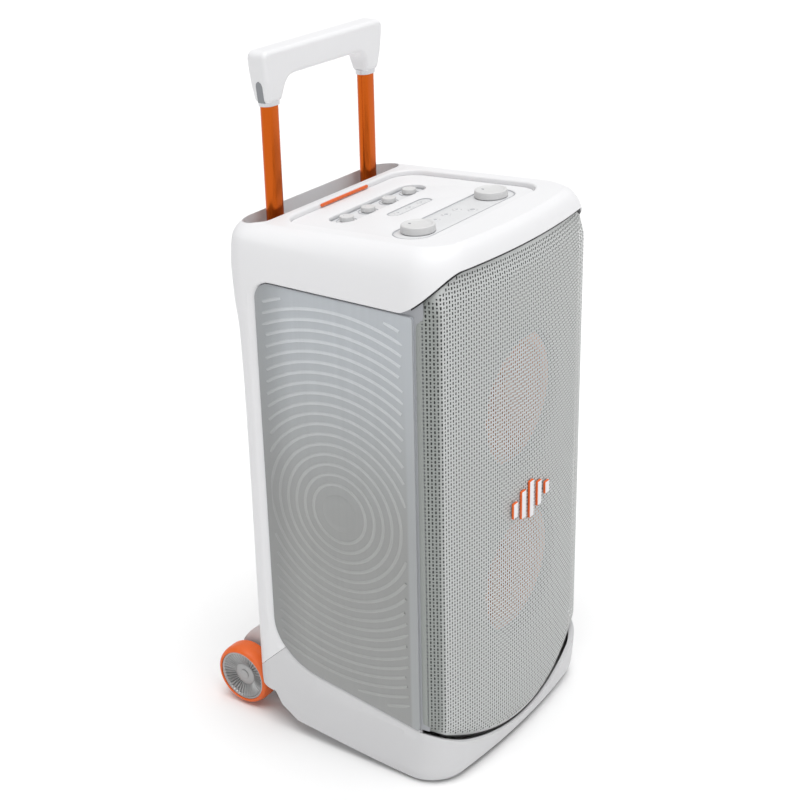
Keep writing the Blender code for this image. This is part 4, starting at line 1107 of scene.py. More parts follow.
def front_run(step):
    """The grille's run seen from above, from left to right, at an even step: x, y, distance."""
    bow_r, apex_y, crease_x = 0.590, -0.1840, 0.1516
    half = [(x, apex_y + bow_r - math.sqrt(bow_r ** 2 - x ** 2), 0)
            for x in np.linspace(0, crease_x - 0.004, 30)]
    half += [(crease_x, -0.1650, 0.0030), (0.1608, -0.1478, 0.0012), (0.1635, -0.1385, 0.0008),
             (0.1618, -0.1376, 0)]
    points = np.array(arc_profile(half))
    far = np.concatenate([[0], np.cumsum(np.linalg.norm(np.diff(points, axis=0), axis=1))])
    count = int(far[-1] / step)
    spots = np.append(np.arange(count + 1) * step, far[-1])
    spots = np.concatenate([-spots[:0:-1], spots])
    x = np.sign(spots) * np.interp(np.abs(spots), far, points[:, 0])
    y = np.interp(np.abs(spots), far, points[:, 1])
    return x, y, spots


def grille_point(x, y, z, low, high):
    """Draws the sheet's border in towards its upper and lower edges."""
    inset = np.maximum(np.interp(z - low, (0, 0.006, 0.016), (0.0040, 0.0015, 0.0)),
                       np.interp(high - z, (0, 0.019, 0.023, 0.030), (0.0050, 0.0012, 0.0003, 0)))
    return (x * (1 - inset / HALF_WIDTH), y * (1 + inset / FRONT_Y), z)


class SPEAKER_OT_grille(bpy.types.Operator):
    """Build the perforated front sheet with its cloth and its seal"""
    bl_idname = "speaker.grille"
    bl_label = "Front grille"

    def execute(self, context):
        pitch = context.scene.speaker_sizes.hole_pitch
        self.sheet(pitch)
        self.seal(pitch)
        self.cloth()
        return {"FINISHED"}

    def sheet(self, pitch):
        """Bowed sheet of real holes, long and short by turns."""
        rise, border, open_x = pitch * 1.105, 0.0022, 0.1622
        x, y, travel = front_run(pitch)
        low, high = lip(x) + 0.0036, hood_edge(x, y) - 0.0026
        rows = np.arange(math.ceil(0.03 / rise), math.floor(0.64 / rise) + 1) * rise
        heights = np.stack([low, low + 0.0008] + [np.clip(z, low + border, high - border)
                                                 for z in rows] + [high - 0.0008, high], 1)
        half_u, snip = 0.00094 / pitch, 0.45         # half a hole's width, its cut corners
        count, tall = heights.shape
        spots = np.empty((count, tall, 3))
        for j in range(tall):
            spots[:, j] = np.stack(grille_point(x, y, heights[:, j], low, high), 1)
        verts = [tuple(p) for p in spots.reshape(-1, 3)]
        faces = []
        for i in range(count - 1):
            wide = travel[i + 1] - travel[i] > pitch * 0.99
            for j in range(tall - 1):
                a, b, c, d = (i * tall + j, (i + 1) * tall + j, (i + 1) * tall + j + 1,
                              i * tall + j + 1)
                whole = all(abs(heights[p, q + 1] - heights[p, q] - rise) < 1e-6
                            for p, q in ((i, j), (i + 1, j)))
                if not (wide and whole and max(abs(x[i]), abs(x[i + 1])) < open_x):
                    if max(heights[i, j + 1] - heights[i, j],
                           heights[i + 1, j + 1] - heights[i + 1, j]) > 1e-6:
                        faces.append((a, b, c, d))
                    continue
                half_v = (0.00168 if (i + j) % 2 else 0.00088) / rise
                r = []
                for u, v in ((-half_u * snip, -half_v), (half_u * snip, -half_v),
                             (half_u, -half_v + half_u * 0.5), (half_u, half_v - half_u * 0.5),
                             (half_u * snip, half_v), (-half_u * snip, half_v),
                             (-half_u, half_v - half_u * 0.5), (-half_u, -half_v + half_u * 0.5)):
                    s, t = u + 0.5, v + 0.5
                    point = ((1 - s) * (1 - t) * spots[i, j] + s * (1 - t) * spots[i + 1, j]
                             + s * t * spots[i + 1, j + 1] + (1 - s) * t * spots[i, j + 1])
                    r.append(len(verts))
                    verts.append(tuple(point))
                faces += [(a, b, r[1], r[0]), (b, r[2], r[1]), (b, c, r[3], r[2]), (c, r[4], r[3]),
                          (c, d, r[5], r[4]), (d, r[6], r[5]), (d, a, r[7], r[6]), (a, r[0], r[7])]
        mesh = bpy.data.meshes.new("grille_sheet")
        mesh.from_pydata(verts, [], faces)
        data = bmesh.new()
        data.from_mesh(mesh)
        bmesh.ops.remove_doubles(data, verts=data.verts, dist=1e-6)
        grille = make("grille_sheet", data, FINISH["pale_grille"], 50)
        bpy.data.meshes.remove(mesh)
        fit(grille, "cabinet", "front_grille")

    def seal(self, pitch):
        """Rubber seal between the sheet and the shells."""
        x, y, travel = front_run(pitch)
        # section: inset from the shells' skin, distance from their edges
        section = ((0.0014, 0.0004), (0.0008, 0.0013), (0.0014, 0.0030), (0.0065, 0.0030),
                   (0.0065, 0.0004))
        lower, upper = [], []
        for px, py, z, far in zip(x, y, lip(x), travel):
            tuck = 0.976 - 0.022 * float(smooth((abs(far) - travel[-1] + 0.030) / 0.020))
            spot = np.array([(px * tuck, py * tuck)])
            lower.append([(*plan(spot, deep, deep)[0], z + lift) for deep, lift in section])
        heights, sides, fronts = np.array(HOOD_KNOTS)[:, :3].T
        for px, py, z in sweep_line():
            if corner_distance(px, py) > 0.006:
                side, front = np.interp(z, heights, sides), np.interp(z, heights, fronts)
                upper.append([(*plan(np.array([(px, py)]), side + deep, front + deep)[0],
                               z - drop) for deep, drop in section])
        seal = make("grille_seal", loft(upper, data=loft(lower)), FINISH["black_rubber"], 50)
        fit(seal, "cabinet", "grille_gasket")

    def cloth(self):
        """Acoustic cloth close behind the sheet, open in front of the woofers."""
        x, y, _ = front_run(0.0035)
        low, high = lip(x) + 0.006, hood_edge(x, y) - 0.008
        data = bmesh.new()
        grid = [[data.verts.new((px * 0.972, py * 0.972, lo + (hi - lo) * t))
                 for t in np.linspace(0, 1, 160)] for px, py, lo, hi in zip(x, y, low, high)]
        for left, right in zip(grid, grid[1:]):
            for j in range(159):
                corners = (left[j], right[j], right[j + 1], left[j + 1])
                middle = sum((v.co for v in corners), Vector()) / 4
                if min(math.hypot(middle.x, middle.z - z) for z in WOOFER_ZS) > 0.0800:
                    data.faces.new(corners)
        bmesh.ops.delete(data, geom=[v for v in data.verts if not v.link_faces],
                         context="VERTS")
        cloth = make("grille_cloth", data, FINISH["liner_cloth"], 60)
        fit(cloth, "cabinet")


BAR_MARK = ((-0.036, 0.010), (-0.018, 0.018), (0.0, 0.024), (0.018, 0.016), (0.036, 0.008))


class SPEAKER_OT_badge(bpy.types.Operator):
    """Build the plain bar mark on the grille"""
    bl_idname = "speaker.badge"
    bl_label = "Bar mark"

    def execute(self, context):
        # upright bars of a sound-level mark: middle and half height of each
        back, front, centre_z, half = FRONT_Y + 0.0012, FRONT_Y - 0.0017, 0.326, 0.0050
        data = bmesh.new()
        for x, reach in BAR_MARK:
            rings = []
            for depth, inset in ((back, 0), (front + 0.0008, 0), (front + 0.0002, 0.0007),
                                 (front, 0.0013)):
                outline = slab(x - half + inset, centre_z - reach + inset, x + half - inset,
                               centre_z + reach - inset, 0.0016 - inset, steps=4)
                rings.append([data.verts.new(point) for point in along("Y", outline, depth)])
            for face in bridge(data, rings)[:2 * len(rings[0])]:
                face.material_index = 1
            data.faces.new(rings[0][::-1])
            data.faces.new(rings[-1])
        mark = make("bar_mark", data, FINISH["white_plastic"], 40)
        mark.data.materials.append(FINISH["orange_rubber"])
        fit(mark, "cabinet", "front_badge")
        return {"FINISHED"}


def plate(name, outline, low, high, material, edge=0.0004, holes=()):
    """Flat-built plate with softened upper edges, laid on the sloping deck."""
    outline = np.array(outline)
    rings = [along("Z", outline, low), along("Z", outline, high - edge),
             along("Z", grown(outline, -edge * 0.3), high - edge * 0.3),
             along("Z", grown(outline, -edge), high)]
    made = make(name, loft(rings), material, 50)
    if holes:
        carve(made, [through(f"{name} hole {i}", "Z", hole, low - 0.01, high + 0.01)
                     for i, hole in enumerate(holes)])
        made.modifiers.clear()
    return tilted(made)


def rim(name, outline, low, high, width, material):
    """Thin raised line that follows an outline on the deck."""
    inner = grown(outline, -width)
    rings = [along("Z", outline, low), along("Z", outline, high), along("Z", inner, high),
             along("Z", inner, low)]
    return tilted(make(name, loft(rings, closed=True), material, 50))


class SPEAKER_OT_deck(bpy.types.Operator):
    """Build the control deck, its three sunken plates and the keys"""
    bl_idname = "speaker.deck"
    bl_label = "Control deck"

    def execute(self, context):
        self.board()
        self.plates()
        self.keys()
        return {"FINISHED"}

    def board(self):
        """Deck with a rounded opening for each sunken plate."""
        left, low, right, high = RECESS
        edge = 0.0005
        outline = slab(left + edge, low + edge, right - edge, high - edge, 0.0315, steps=12)
        deck = make("deck_plate", loft([along("Z", outline, -0.004), along("Z", outline, 0.0)]),
                    FINISH["deck_plastic"])
        cuts = []
        for name, shape, flare in (("rear", PILL_REAR, 0.0012), ("small", PILL_SMALL, 0.0006),
                                   ("large", PILL_LARGE, 0.0008)):
            rings = [along("Z", pill(*shape), -0.02)]
            for a in np.linspace(0, math.pi / 2, 5):
                rings.append(along("Z", pill(*shape, grow=flare * (1 - math.cos(a))),
                                   flare * (math.sin(a) - 1) + 0.00001))
            rings.append(along("Z", pill(*shape, grow=flare), 0.01))
            cuts.append(make(f"pill {name}", loft(rings), None))
        carve(deck, cuts)
        deck.modifiers.clear()
        fit(tilted(deck), "cabinet", "control_deck")

    def plates(self):
        """Sunken plates with their outlines and the cups of the small knobs."""
        cups = [oval(x, PILL_REAR[0], 0.0047, 32) for x in SMALL_KNOB_XS]
        rear = plate("rear_plate", pill(*PILL_REAR, grow=-0.0003), -0.0065, -0.0050,
                     FINISH["pale_fascia"], holes=cups)
        fit(rear, "cabinet", "fascia_rear")
        slots = [pill(PILL_SMALL[0], 0.0062, 0.0042, 0, x) for x in SMALL_KEY_XS]
        small = plate("small_plate", pill(*PILL_SMALL, grow=-0.0003), -0.0030, -0.0010,
                      FINISH["pale_fascia"], holes=slots)
        fit(small, "cabinet", "fascia_small")
        rounds = [oval(s * LARGE_KNOB_X, PILL_LARGE[0], 0.0060, 40) for s in (-1, 1)]
        rounds += [oval(x, y, 0.0055, 32) for x, y in LARGE_KEYS]
        large = plate("large_plate", pill(*PILL_LARGE, grow=-0.0003), -0.0030, -0.0010,
                      FINISH["pale_fascia"], holes=rounds)
        fit(large, "cabinet", "fascia_large")
        for name, shape, width in (("rear", PILL_REAR, 0.0009), ("small", PILL_SMALL, 0.0007),
                                   ("large", PILL_LARGE, 0.0009)):
            level = -0.0050 if name == "rear" else -0.0010
            line = rim(f"{name}_outline", np.array(pill(*shape, grow=-0.0004)), level - 0.0004,
                       level + 0.0008, width, FINISH["soft_outline"])
            fit(line, "cabinet")
        for i, x in enumerate(SMALL_KNOB_XS):
            ring = rim(f"knob_cup_{i + 1}", np.array(oval(x, PILL_REAR[0], 0.0122, 48)), -0.0052,
                       -0.0044, 0.0010, FINISH["soft_outline"])
            fit(ring, "cabinet")

    def keys(self):
        """Keys, each with its raised sign."""
        keys = [(f"small_key_{i + 1}", pill(PILL_SMALL[0], 0.0059, 0.0039, 0, x))
                for i, x in enumerate(SMALL_KEY_XS)]
        keys += [(f"large_key_{i + 1}", oval(x, y, 0.0052, 32))
                 for i, (x, y) in enumerate(LARGE_KEYS)]
        for name, outline in keys:
            key = plate(f"{name}_pad", outline, -0.0060, -0.0006, FINISH["pale_fascia"], 0.0005)
            centre = np.array(outline).mean(0)
            fit(key, f"{name}_body", name)
            number = int(name[-1])
            if name.startswith("small") or number == 3:
                mark = [(centre[0] - 0.0016, centre[1] - 0.0020),
                        (centre[0] + 0.0022, centre[1]), (centre[0] - 0.0016, centre[1] + 0.0020)]
            else:
                mark = oval(centre[0], centre[1], 0.0017 + 0.0003 * number, 24)
            icon = plate(f"{name}_sign", mark, -0.0008, -0.00045, FINISH["soft_outline"], 0.0001)
            fit(icon, f"{name}_body")


class SPEAKER_OT_knobs(bpy.types.Operator):
    """Build the four small and the two large knobs"""
    bl_idname = "speaker.knobs"
    bl_label = "Knobs"

    def execute(self, context):
        small = arc_profile([(0, -0.0120, 0), (0.0036, -0.0120, 0), (0.0036, -0.0045, 0),
                             (0.0075, -0.0045, 0), (0.0086, -0.0038, 0.0005),
                             (0.0082, 0.0014, 0.0011), (0.0050, 0.0011, 0.0010), (0, 0.0009, 0)])
        large = arc_profile([(0, -0.0120, 0), (0.0056, -0.0120, 0), (0.0056, -0.0007, 0),
                             (0.0180, -0.0007, 0), (0.0195, 0.0003, 0.0006),
                             (0.0190, 0.0081, 0.0013), (0.0166, 0.0083, 0.0009),
                             (0.0148, 0.0070, 0.0012), (0.0090, 0.0065, 0.002), (0, 0.0064, 0)])
        knobs = [("small", i + 1, x, PILL_REAR[0], small, 64, (0.0058, 0.0011, 0.0005))
                 for i, x in enumerate(SMALL_KNOB_XS)]
        knobs += [("large", side, sign * LARGE_KNOB_X, PILL_LARGE[0], large, 112,
                   (0.0118, 0.0072, 0.0009)) for side, sign in SIDES]
        for kind, which, x, y, profile, steps, line in knobs:
            knob = make(f"{kind}_cap_{which}", turned(profile, steps, False),
                        FINISH["knob_plastic"])
            place(knob, (x, y, deck_z(y)), (0, TOP_SLOPE, 1))
            fit(knob, f"{kind}_knob_{which}_body", f"{kind}_knob_{which}")
            self.pointer(f"{kind}_pointer_{which}", f"{kind}_knob_{which}_body", x, y, *line)
        return {"FINISHED"}

    def pointer(self, name, body, x, y, reach, height, half):
        """Short raised line near a knob's edge."""
        outline = slab(x - half, y + reach - 0.0022, x + half, y + reach + 0.0012, half * 0.9,
                       steps=4)
        line = plate(name, outline, height - 0.0006, height, FINISH["outline_grey"], 0.0001)
        fit(line, body)


class SPEAKER_OT_strip(bpy.types.Operator):
    """Build the rubber rest behind the deck"""
    bl_idname = "speaker.strip"
    bl_label = "Device rest"

    def execute(self, context):
        low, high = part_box("device_strip")
        outline = slab(low.x, low.z, high.x, high.z, 0.0015, steps=5)
        rings = [along("Y", outline, high.y), along("Y", outline, low.y + 0.0004),
                 along("Y", grown(outline, -0.0004), low.y)]
        strip = make("rubber_rest", loft(rings), FINISH["orange_rubber"])
        fit(strip, "cabinet", "device_strip")
        return {"FINISHED"}


class SPEAKER_OT_handle(bpy.types.Operator):
    """Build the pull-up handle: grip, tubes, collars, inserts and release"""
    bl_idname = "speaker.handle"
    bl_label = "Handle"

    def execute(self, context):
        self.grip()
        self.release()
        for side, sign in SIDES:
            self.leg(side, sign)
        return {"FINISHED"}

    def grip(self):
        """Grip with its sockets for the tubes and the pocket of the release."""
        # half outline from the inner foot outwards and up: x, z, rounding
        half = [(0.0735, 0.7970, 0.007), (0.0785, 0.7795, 0.0058), (0.1035, 0.7795, 0.0058),
                (0.1060, 0.7980, 0.08), (0.1095, 0.8200, 0.08), (0.1106, 0.8380, 0.0085)]
        inner = [(0.0540, 0.8060, 0.02), (0.0672, 0.8045, 0.009)]
        corners = [(-x, z, r) for x, z, r in inner + half]
        corners += [(-x, z, r) for x, z, r in reversed(corners)]
        outline = rounded(corners, 8)
        turn = sum(a[0] * b[1] - b[0] * a[1] for a, b in zip(outline, outline[1:] + outline[:1]))
        outline = outline if turn > 0 else outline[::-1]
        depth, soft = 0.0135, 0.0056
        rings = []
        for a in np.linspace(-90, 90, 14):
            a = math.radians(a)
            out = math.copysign(depth - soft, a) + soft * math.sin(a)
            rings.append(along("Y", grown(outline, soft * (math.cos(a) - 1)), TUBE_Y + out))
        grip = make("grip", loft(rings), FINISH["white_plastic"])
        for vertex in grip.data.vertices:
            thin = 1 - 0.22 * float(smooth((0.806 - vertex.co.z) / 0.0265))
            vertex.co.y = TUBE_Y + (vertex.co.y - TUBE_Y) * thin
        sockets = [through(f"socket {side}", "Z", tube_outline(sign, 0.0003), 0.77, 0.795)
                   for side, sign in SIDES]
        pocket = slab(-0.0185, TUBE_Y - 0.0065, 0.0185, TUBE_Y + 0.0065, 0.002)
        carve(grip, sockets + [through("pocket", "Z", pocket, 0.79, 0.8155)])
        fit(grip, "handle", "handle_grip")

    def release(self):
        """Release pad under the grip."""
        low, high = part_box("release_button")
        button = slab(low.x, low.y, high.x, high.y, 0.0018)
        rings = [along("Z", grown(button, inset), z) for inset, z in (
            (-0.0012, 0.8064), (-0.0003, 0.8067), (0, 0.8076), (0, high.z))]
        button = make("release_pad", loft(rings), FINISH["grey_plastic"])
        fit(button, "release_catch", "release_button")

    def leg(self, side, sign):
        """Tube with its collar and the grey insert of the leg above it."""
        rings = [along("Z", tube_outline(sign, grow), z) for grow, z in (
            (0, 0.300), (0, 0.7945), (-0.0014, 0.7945), (-0.0014, 0.300))]
        tube = make(f"tube_{side}", loft(rings, closed=True), FINISH["orange_anodised"])
        fit(tube, "handle", f"handle_tube_{side}")
        rings = [along("Z", tube_outline(sign, grow), z) for grow, z in (
            (0.0002, 0.7757), (0.0012, 0.7757), (0.0016, 0.7761), (0.0016, 0.7812),
            (0.0012, 0.7816), (0.0002, 0.7816))]
        collar = make(f"collar_{side}", loft(rings, closed=True), FINISH["satin_metal"])
        fit(collar, "handle", f"leg_collar_{side}")
        # grey insert let into the outer side of each leg
        rings = []
        for t in np.linspace(0, 1, 13):
            z = 0.7800 + 0.0245 * t
            edge_x = np.interp(z, (0.7795, 0.7980, 0.8200), (0.1035, 0.1060, 0.1095))
            width = 0.0050 * math.sqrt(max(1 - max((t - 0.72) / 0.28, 0) ** 2, 0.01))
            rings.append([(sign * (edge_x + dx), TUBE_Y + dy, z) for dx, dy in (
                (-0.0010, -width), (0.0002, -width * 0.9), (0.0004, 0), (0.0002, width * 0.9),
                (-0.0010, width))])
        insert = make(f"leg_insert_{side}", loft(rings), FINISH["grey_plastic"])
        fit(insert, "handle")


class SPEAKER_OT_wheels(bpy.types.Operator):
    """Build the rubber tyres and the ribbed wheel discs"""
    bl_idname = "speaker.wheels"
    bl_label = "Wheels"

    def execute(self, context):
        ribs = context.scene.speaker_sizes.wheel_ribs
        for side, sign in SIDES:
            origin = (sign * 0.129, WHEEL_Y, WHEEL_Z)
            profile = arc_profile([
                (0.0336, 0.0, 0), (0.0385, 0.0, 0.0010), (0.0398, 0.0030, 0.0022),
                (0.0398, 0.0190, 0.0045), (0.0375, 0.0252, 0.0030), (0.0340, 0.0260, 0.0006),
                (0.0336, 0.0256, 0)], 6)
            tyre = place(make(f"tyre_{side}", turned(profile, 120), FINISH["orange_rubber"], 45),
                         origin, (sign, 0, 0))
            fit(tyre, f"wheel_{side}", f"wheel_tyre_{side}")
            # face of the disc from the rim inwards: radius, height, share of the rib relief
            rows = [(0.0043, 0.0010, 0), (0.0333, 0.0010, 0), (0.0333, 0.0240, 0),
                    (0.0330, 0.0245, 0), (0.0312, 0.0245, 0), (0.0306, 0.0238, 0)]
            rows += [(r, 0.0238 - 0.0046 * float(smooth((0.0306 - r) / 0.0200)), 1.0)
                     for r in np.linspace(0.0300, 0.0155, 10)]
            rows += [(0.0148, 0.0190, 0), (0.0140, 0.0196, 0), (0.0070, 0.0200, 0),
                     (0.0043, 0.0196, 0)]
            angles = [2 * math.pi * k / (ribs * 6) for k in range(ribs * 6)]
            relief = [0.0024 * (1 - (0.5 + 0.5 * math.cos(a * ribs)) ** 0.6) for a in angles]
            rings = [[(r * math.cos(a), r * math.sin(a), h - share * dip)
                      for a, dip in zip(angles, relief)] for r, h, share in rows]
            disc = place(make(f"wheel_disc_{side}", loft(rings, closed=True),
                              FINISH["hub_plastic"], 45), origin, (sign, 0, 0))
            fit(disc, f"wheel_{side}", f"wheel_hub_{side}")
            cap = turned(arc_profile([(0.0, 0.0200, 0), (0.0040, 0.0200, 0),
                                      (0.0062, 0.0199, 0.0005), (0.0066, 0.0206, 0.0005),
                                      (0.0, 0.0212, 0)]), 48, False)
            cap = place(make(f"axle_cap_{side}", cap, FINISH["hub_plastic"]), origin,
                        (sign, 0, 0))
            fit(cap, f"wheel_{side}")
        return {"FINISHED"}


class SPEAKER_OT_woofers(bpy.types.Operator):
    """Build the two woofer cones with their roll surrounds"""
    bl_idname = "speaker.woofers"
    bl_label = "Woofer cones"

    def execute(self, context):
        front_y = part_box("baffle")[0].y
        for name, z in zip(("lower", "upper"), WOOFER_ZS):
            profile = [(0.0, -0.0095, 0), (0.012, -0.0100, 0.004), (0.0212, -0.0125, 0.003),
                       (0.0235, -0.0195, 0.002), (0.0610, -0.0020, 0.002),
                       (0.0645, 0.0022, 0.0035), (0.0715, 0.0026, 0.0035),
                       (0.0745, 0.0004, 0.0015), (0.0805, 0.0006, 0.0004), (0.0805, -0.0002, 0)]
            cone = place(make(f"cone_{name}", turned(arc_profile(profile), 112, False),
                              FINISH["orange_cone"], 45), (0, front_y - 0.0042, z), (0, -1, 0))
            fit(cone, "cabinet", f"woofer_cone_{name}")
        return {"FINISHED"}


def back_plate(name, outline, low, high, material, cuts=()):
    """Upright plate on the rear whose outer edge is softened."""
    outline = np.array(outline)
    rings = [along("Y", outline, low), along("Y", outline, high - 0.0010),
             along("Y", grown(outline, -0.0003), high - 0.0003),
             along("Y", grown(outline, -0.0010), high)]
    made = make(name, loft(rings), material)
    if cuts:
        carve(made, cuts)
        made.modifiers.clear()
    return made


class SPEAKER_OT_rear(bpy.types.Operator):
    """Build the rear panel, battery door, socket flap, bass port and screws"""
    bl_idname = "speaker.rear"
    bl_label = "Rear"

    def execute(self, context):
        self.panel()
        self.door()
        self.flap()
        self.port()
        self.screws(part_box("rear_panel")[1].y)
        return {"FINISHED"}

    def panel(self):
        """Rear panel with the bays of the battery, the sockets and the port."""
        low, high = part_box("rear_panel")
        outer = high.y
        outline = slab(low.x, low.z, high.x, high.z, 0.0115)
        bays = []
        for name, shape in (("battery", slab(-0.0700, 0.1500, 0.0700, 0.2700, 0.006)),
                            ("socket", slab(-0.0650, 0.3000, 0.0650, 0.3700, 0.008)),
                            ("port", oval(0, 0.450, 0.0365, 96))):
            flare = grown(shape, 0.0006)
            bays.append(cutter(f"{name} bay", [along("Y", shape, outer - 0.02),
                                               along("Y", shape, outer - 0.0006),
                                               along("Y", flare, outer + 0.0001),
                                               along("Y", flare, outer + 0.01)]))
        panel = back_plate("back_panel", outline, low.y, outer, FINISH["white_plastic"], bays)
        fit(panel, "cabinet", "rear_panel")

    def door(self):
        """Battery door with its finger notch and moulded lines."""
        low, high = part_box("battery_door")
        notch = pill(high.z - 0.0085, 0.0150, 0.0042)
        dish = cutter("finger notch", [along("Y", grown(notch, -0.0010), high.y - 0.0016),
                                       along("Y", notch, high.y - 0.0006),
                                       along("Y", grown(notch, 0.0004), high.y + 0.001)])
        lines = [through(f"line {i}", "Y", pill(low.z + 0.012 + 0.006 * i, 0.050, 0.0008),
                         high.y - 0.0006, high.y + 0.001) for i in range(4)]
        door = back_plate("battery_hatch_cover", slab(low.x, low.z, high.x, high.z, 0.005), low.y,
                          high.y, FINISH["white_plastic"], [dish] + lines)
        fit(door, "battery_hatch", "battery_door")

    def flap(self):
        """Rubber cover of the sockets."""
        low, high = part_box("socket_cover")
        middle = (low.x + high.x) / 2
        grooves = [through(f"groove {i}", "Y",
                           pill(low.z + 0.010 + 0.0045 * i, 0.030, 0.0009, 0, middle),
                           high.y - 0.0008, high.y + 0.001) for i in range(8)]
        tab = through("tab", "Y", pill(high.z - 0.0090, 0.011, 0.0032, 0, middle),
                      high.y - 0.0010, high.y + 0.001)
        flap = back_plate("socket_flap_cover", slab(low.x, low.z, high.x, high.z, 0.0055), low.y,
                          high.y, FINISH["black_rubber"], grooves + [tab])
        fit(flap, "socket_flap", "socket_cover")

    def port(self):
        """Bass port flared into the panel."""
        profile = arc_profile([(0.0272, -0.105, 0), (0.0296, -0.105, 0), (0.0296, -0.006, 0),
                               (0.0362, -0.0006, 0), (0.0362, 0.0012, 0.0008),
                               (0.0335, 0.0012, 0.0016), (0.0272, -0.0090, 0.0080),
                               (0.0272, -0.0300, 0)], 6)
        port = place(make("port_flare", turned(profile, 112),
                          FINISH["dark_plastic"]), (0, 0.1160, 0.450), (0, 1, 0))
        fit(port, "cabinet", "bass_port")

    def screws(self, outer):
        """Screw heads on the panel's face."""
        data = bmesh.new()
        head = ((0, 0.0001), (0.0013, 0.0001), (0.0015, 0.0007), (0.0026, 0.0006),
                (0.0033, 0.0002), (0.0035, -0.0003))
        for x in (-0.1190, 0.1190):
            for z in (0.1450, 0.2850, 0.4300, 0.5750):
                rows = [[data.verts.new((x, outer + head[0][1], z))] * 30]
                for radius, height in head[1:]:
                    rows.append([data.verts.new(p) for p in along(
                        "Y", oval(x, z, radius, 30), outer + height)])
                bridge(data, rows)
        screws = make("rear_screws", data, FINISH["steel"])
        fit(screws, "cabinet")


# ---- stage ----------------------------------------------------------------------------------

def studio_paper(name):
    """Matt white studio paper with a faint mottle."""
    material, nodes, links = blank(name)
    paper = nodes.new("NodeFrame")
    paper.label = "Paper surface"
    where = nodes.new("ShaderNodeTexCoord")
    where.label = "Position on the floor"
    mottle = nodes.new("ShaderNodeTexNoise")
    mottle.label = "Faint mottle"
    shade = nodes.new("ShaderNodeMix")
    shade.label = "White and barely grey"
    shader = nodes.new("ShaderNodeBsdfPrincipled")
    shader.label = "Matt paper"
    output = nodes.new("ShaderNodeOutputMaterial")
    output.label = "Floor"
    for node, parent, spot in ((where, None, (-900, 0)), (mottle, paper, (-660, 0)),
                                (shade, paper, (-420, 0)), (shader, None, (-180, 0)),
                                (output, None, (140, 0))):
        node.parent, node.location = parent, spot
    mottle.inputs["Scale"].default_value = 2.0
    shade.data_type = "RGBA"
    shade.inputs[6].default_value = (0.90, 0.90, 0.90, 1)
    shade.inputs[7].default_value = (0.93, 0.93, 0.93, 1)
    shader.inputs["Roughness"].default_value = 0.9
    shader.inputs["Specular IOR Level"].default_value = 0.1
    links.new(where.outputs["Object"], mottle.inputs["Vector"])
    links.new(mottle.outputs["Fac"], shade.inputs["Factor"])
    links.new(shade.outputs[2], shader.inputs["Base Color"])
    links.new(shader.outputs["BSDF"], output.inputs["Surface"])
    return material


def studio_light(name):
    """Even white room whose light is weaker from one side, shown as plain white."""
    world = bpy.data.worlds.new(name)
    world.use_nodes = True
    nodes, links = world.node_tree.nodes, world.node_tree.links
    nodes.clear()
    fall = nodes.new("NodeFrame")
    fall.label = "Light that falls off to one side"
    view = nodes.new("NodeFrame")
    view.label = "White behind the speaker"
    where = nodes.new("ShaderNodeTexCoord")
    where.label = "Direction into the room"
    facing = nodes.new("ShaderNodeVectorMath")
    facing.label = "How far towards the dim side"
    fade = nodes.new("ShaderNodeMapRange")
    fade.label = "Fade into the dim side"
    room = nodes.new("ShaderNodeBackground")
    room.label = "Light of the room"
    backdrop = nodes.new("ShaderNodeBackground")
    backdrop.label = "Plain white backdrop"
    seen = nodes.new("ShaderNodeLightPath")
    seen.label = "Seen directly"
    choose = nodes.new("ShaderNodeMixShader")
    choose.label = "Backdrop or light"
    output = nodes.new("ShaderNodeOutputWorld")
    output.label = "Room"
    for node, parent, spot in ((where, fall, (-900, 0)), (facing, fall, (-700, 0)),
                               (fade, fall, (-500, 0)), (room, fall, (-280, 0)),
                               (backdrop, view, (-280, -200)), (seen, view, (-280, 300)),
                               (choose, None, (-60, 0)), (output, None, (160, 0))):
        node.parent, node.location = parent, spot
    facing.operation = "DOT_PRODUCT"
    facing.inputs[1].default_value = (-0.45, 0.89, 0.0)
    fade.interpolation_type = "SMOOTHSTEP"
    fade.inputs["From Min"].default_value = 0.45
    fade.inputs["From Max"].default_value = 0.95
    fade.inputs["To Min"].default_value = 0.72
    fade.inputs["To Max"].default_value = 0.24
    backdrop.inputs["Color"].default_value = (1, 1, 1, 1)
    links.new(where.outputs["Generated"], facing.inputs[0])
    links.new(facing.outputs["Value"], fade.inputs["Value"])
    links.new(fade.outputs["Result"], room.inputs["Strength"])
    links.new(seen.outputs["Is Camera Ray"], choose.inputs["Fac"])
    links.new(room.outputs["Background"], choose.inputs[1])
    links.new(backdrop.outputs["Background"], choose.inputs[2])
    links.new(choose.outputs["Shader"], output.inputs["Surface"])
    return world


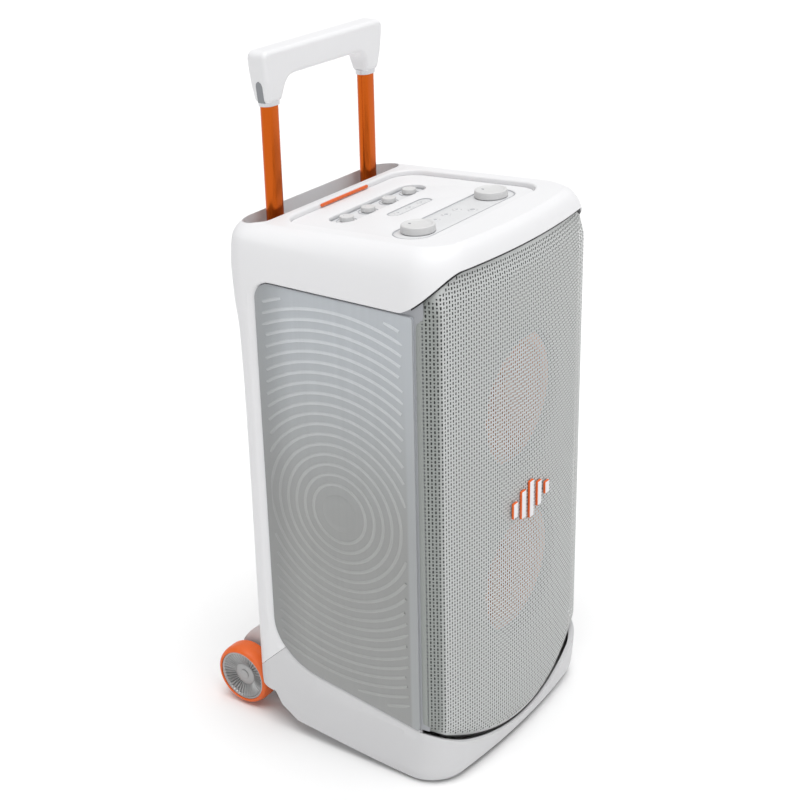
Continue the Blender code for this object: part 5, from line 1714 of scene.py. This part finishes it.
class SPEAKER_OT_stage(bpy.types.Operator):
    """Build the floor, the soft lights and the camera"""
    bl_idname = "speaker.stage"
    bl_label = "Stage"

    def execute(self, context):
        scene = context.scene
        data = bmesh.new()
        bmesh.ops.create_circle(data, cap_ends=True, segments=96, radius=30)
        floor = make("floor", data, studio_paper("studio paper"))
        scene.world = studio_light("studio")
        for name, towards, power, spread in (("overhead", (0.12, 0.16, -1.0), 2.22, 50),
                                             ("front fill", (0.10, 1.0, -0.35), 0.06, 60)):
            light = bpy.data.lights.new(name, "SUN")
            light.energy, light.angle = power, math.radians(spread)
            lamp = bpy.data.objects.new(name, light)
            lamp.rotation_euler = Vector(towards).to_track_quat("-Z", "Y").to_euler()
            scene.collection.objects.link(lamp)
        lens = bpy.data.cameras.new("camera")
        lens.sensor_width, lens.lens = 36.0, 71.53
        lens.clip_end = 100
        camera = bpy.data.objects.new("camera", lens)
        camera.location = (-1.429, -1.0155, 1.198)
        camera.rotation_euler = (1.147, 0.021, -0.963)
        scene.collection.objects.link(camera)
        scene.camera = camera
        scene.view_settings.view_transform = "Standard"
        return {"FINISHED"}


class SPEAKER_PT_pieces(bpy.types.Panel):
    """Lists the sizes, finishes and pieces of the speaker"""
    bl_idname = "SPEAKER_PT_pieces"
    bl_label = "Party speaker"
    bl_space_type = "VIEW_3D"
    bl_region_type = "UI"
    bl_category = "Speaker"

    def draw(self, context):
        layout = self.layout
        for group in (context.scene.speaker_sizes, context.scene.speaker_finishes):
            for name in group.__annotations__:
                layout.prop(group, name)
        for operator in OPERATORS:
            layout.operator(operator.bl_idname)


OPERATORS = (SPEAKER_OT_hood, SPEAKER_OT_tray, SPEAKER_OT_light_covers, SPEAKER_OT_grille,
             SPEAKER_OT_badge, SPEAKER_OT_deck, SPEAKER_OT_knobs, SPEAKER_OT_strip,
             SPEAKER_OT_handle, SPEAKER_OT_wheels, SPEAKER_OT_woofers, SPEAKER_OT_rear,
             SPEAKER_OT_stage)
CLASSES = (SpeakerSizes, SpeakerFinishes) + OPERATORS + (SPEAKER_PT_pieces,)


def register():
    for kind in CLASSES:
        bpy.utils.register_class(kind)
    bpy.types.Scene.speaker_sizes = PointerProperty(type=SpeakerSizes)
    bpy.types.Scene.speaker_finishes = PointerProperty(type=SpeakerFinishes)


def unregister():
    del bpy.types.Scene.speaker_sizes, bpy.types.Scene.speaker_finishes
    for kind in reversed(CLASSES):
        bpy.utils.unregister_class(kind)


def main():
    register()
    mix_finishes()
    dress_frame()
    for operator in OPERATORS:
        area, call = operator.bl_idname.split(".")
        getattr(getattr(bpy.ops, area), call)()


if __name__ == "__main__":
    main()
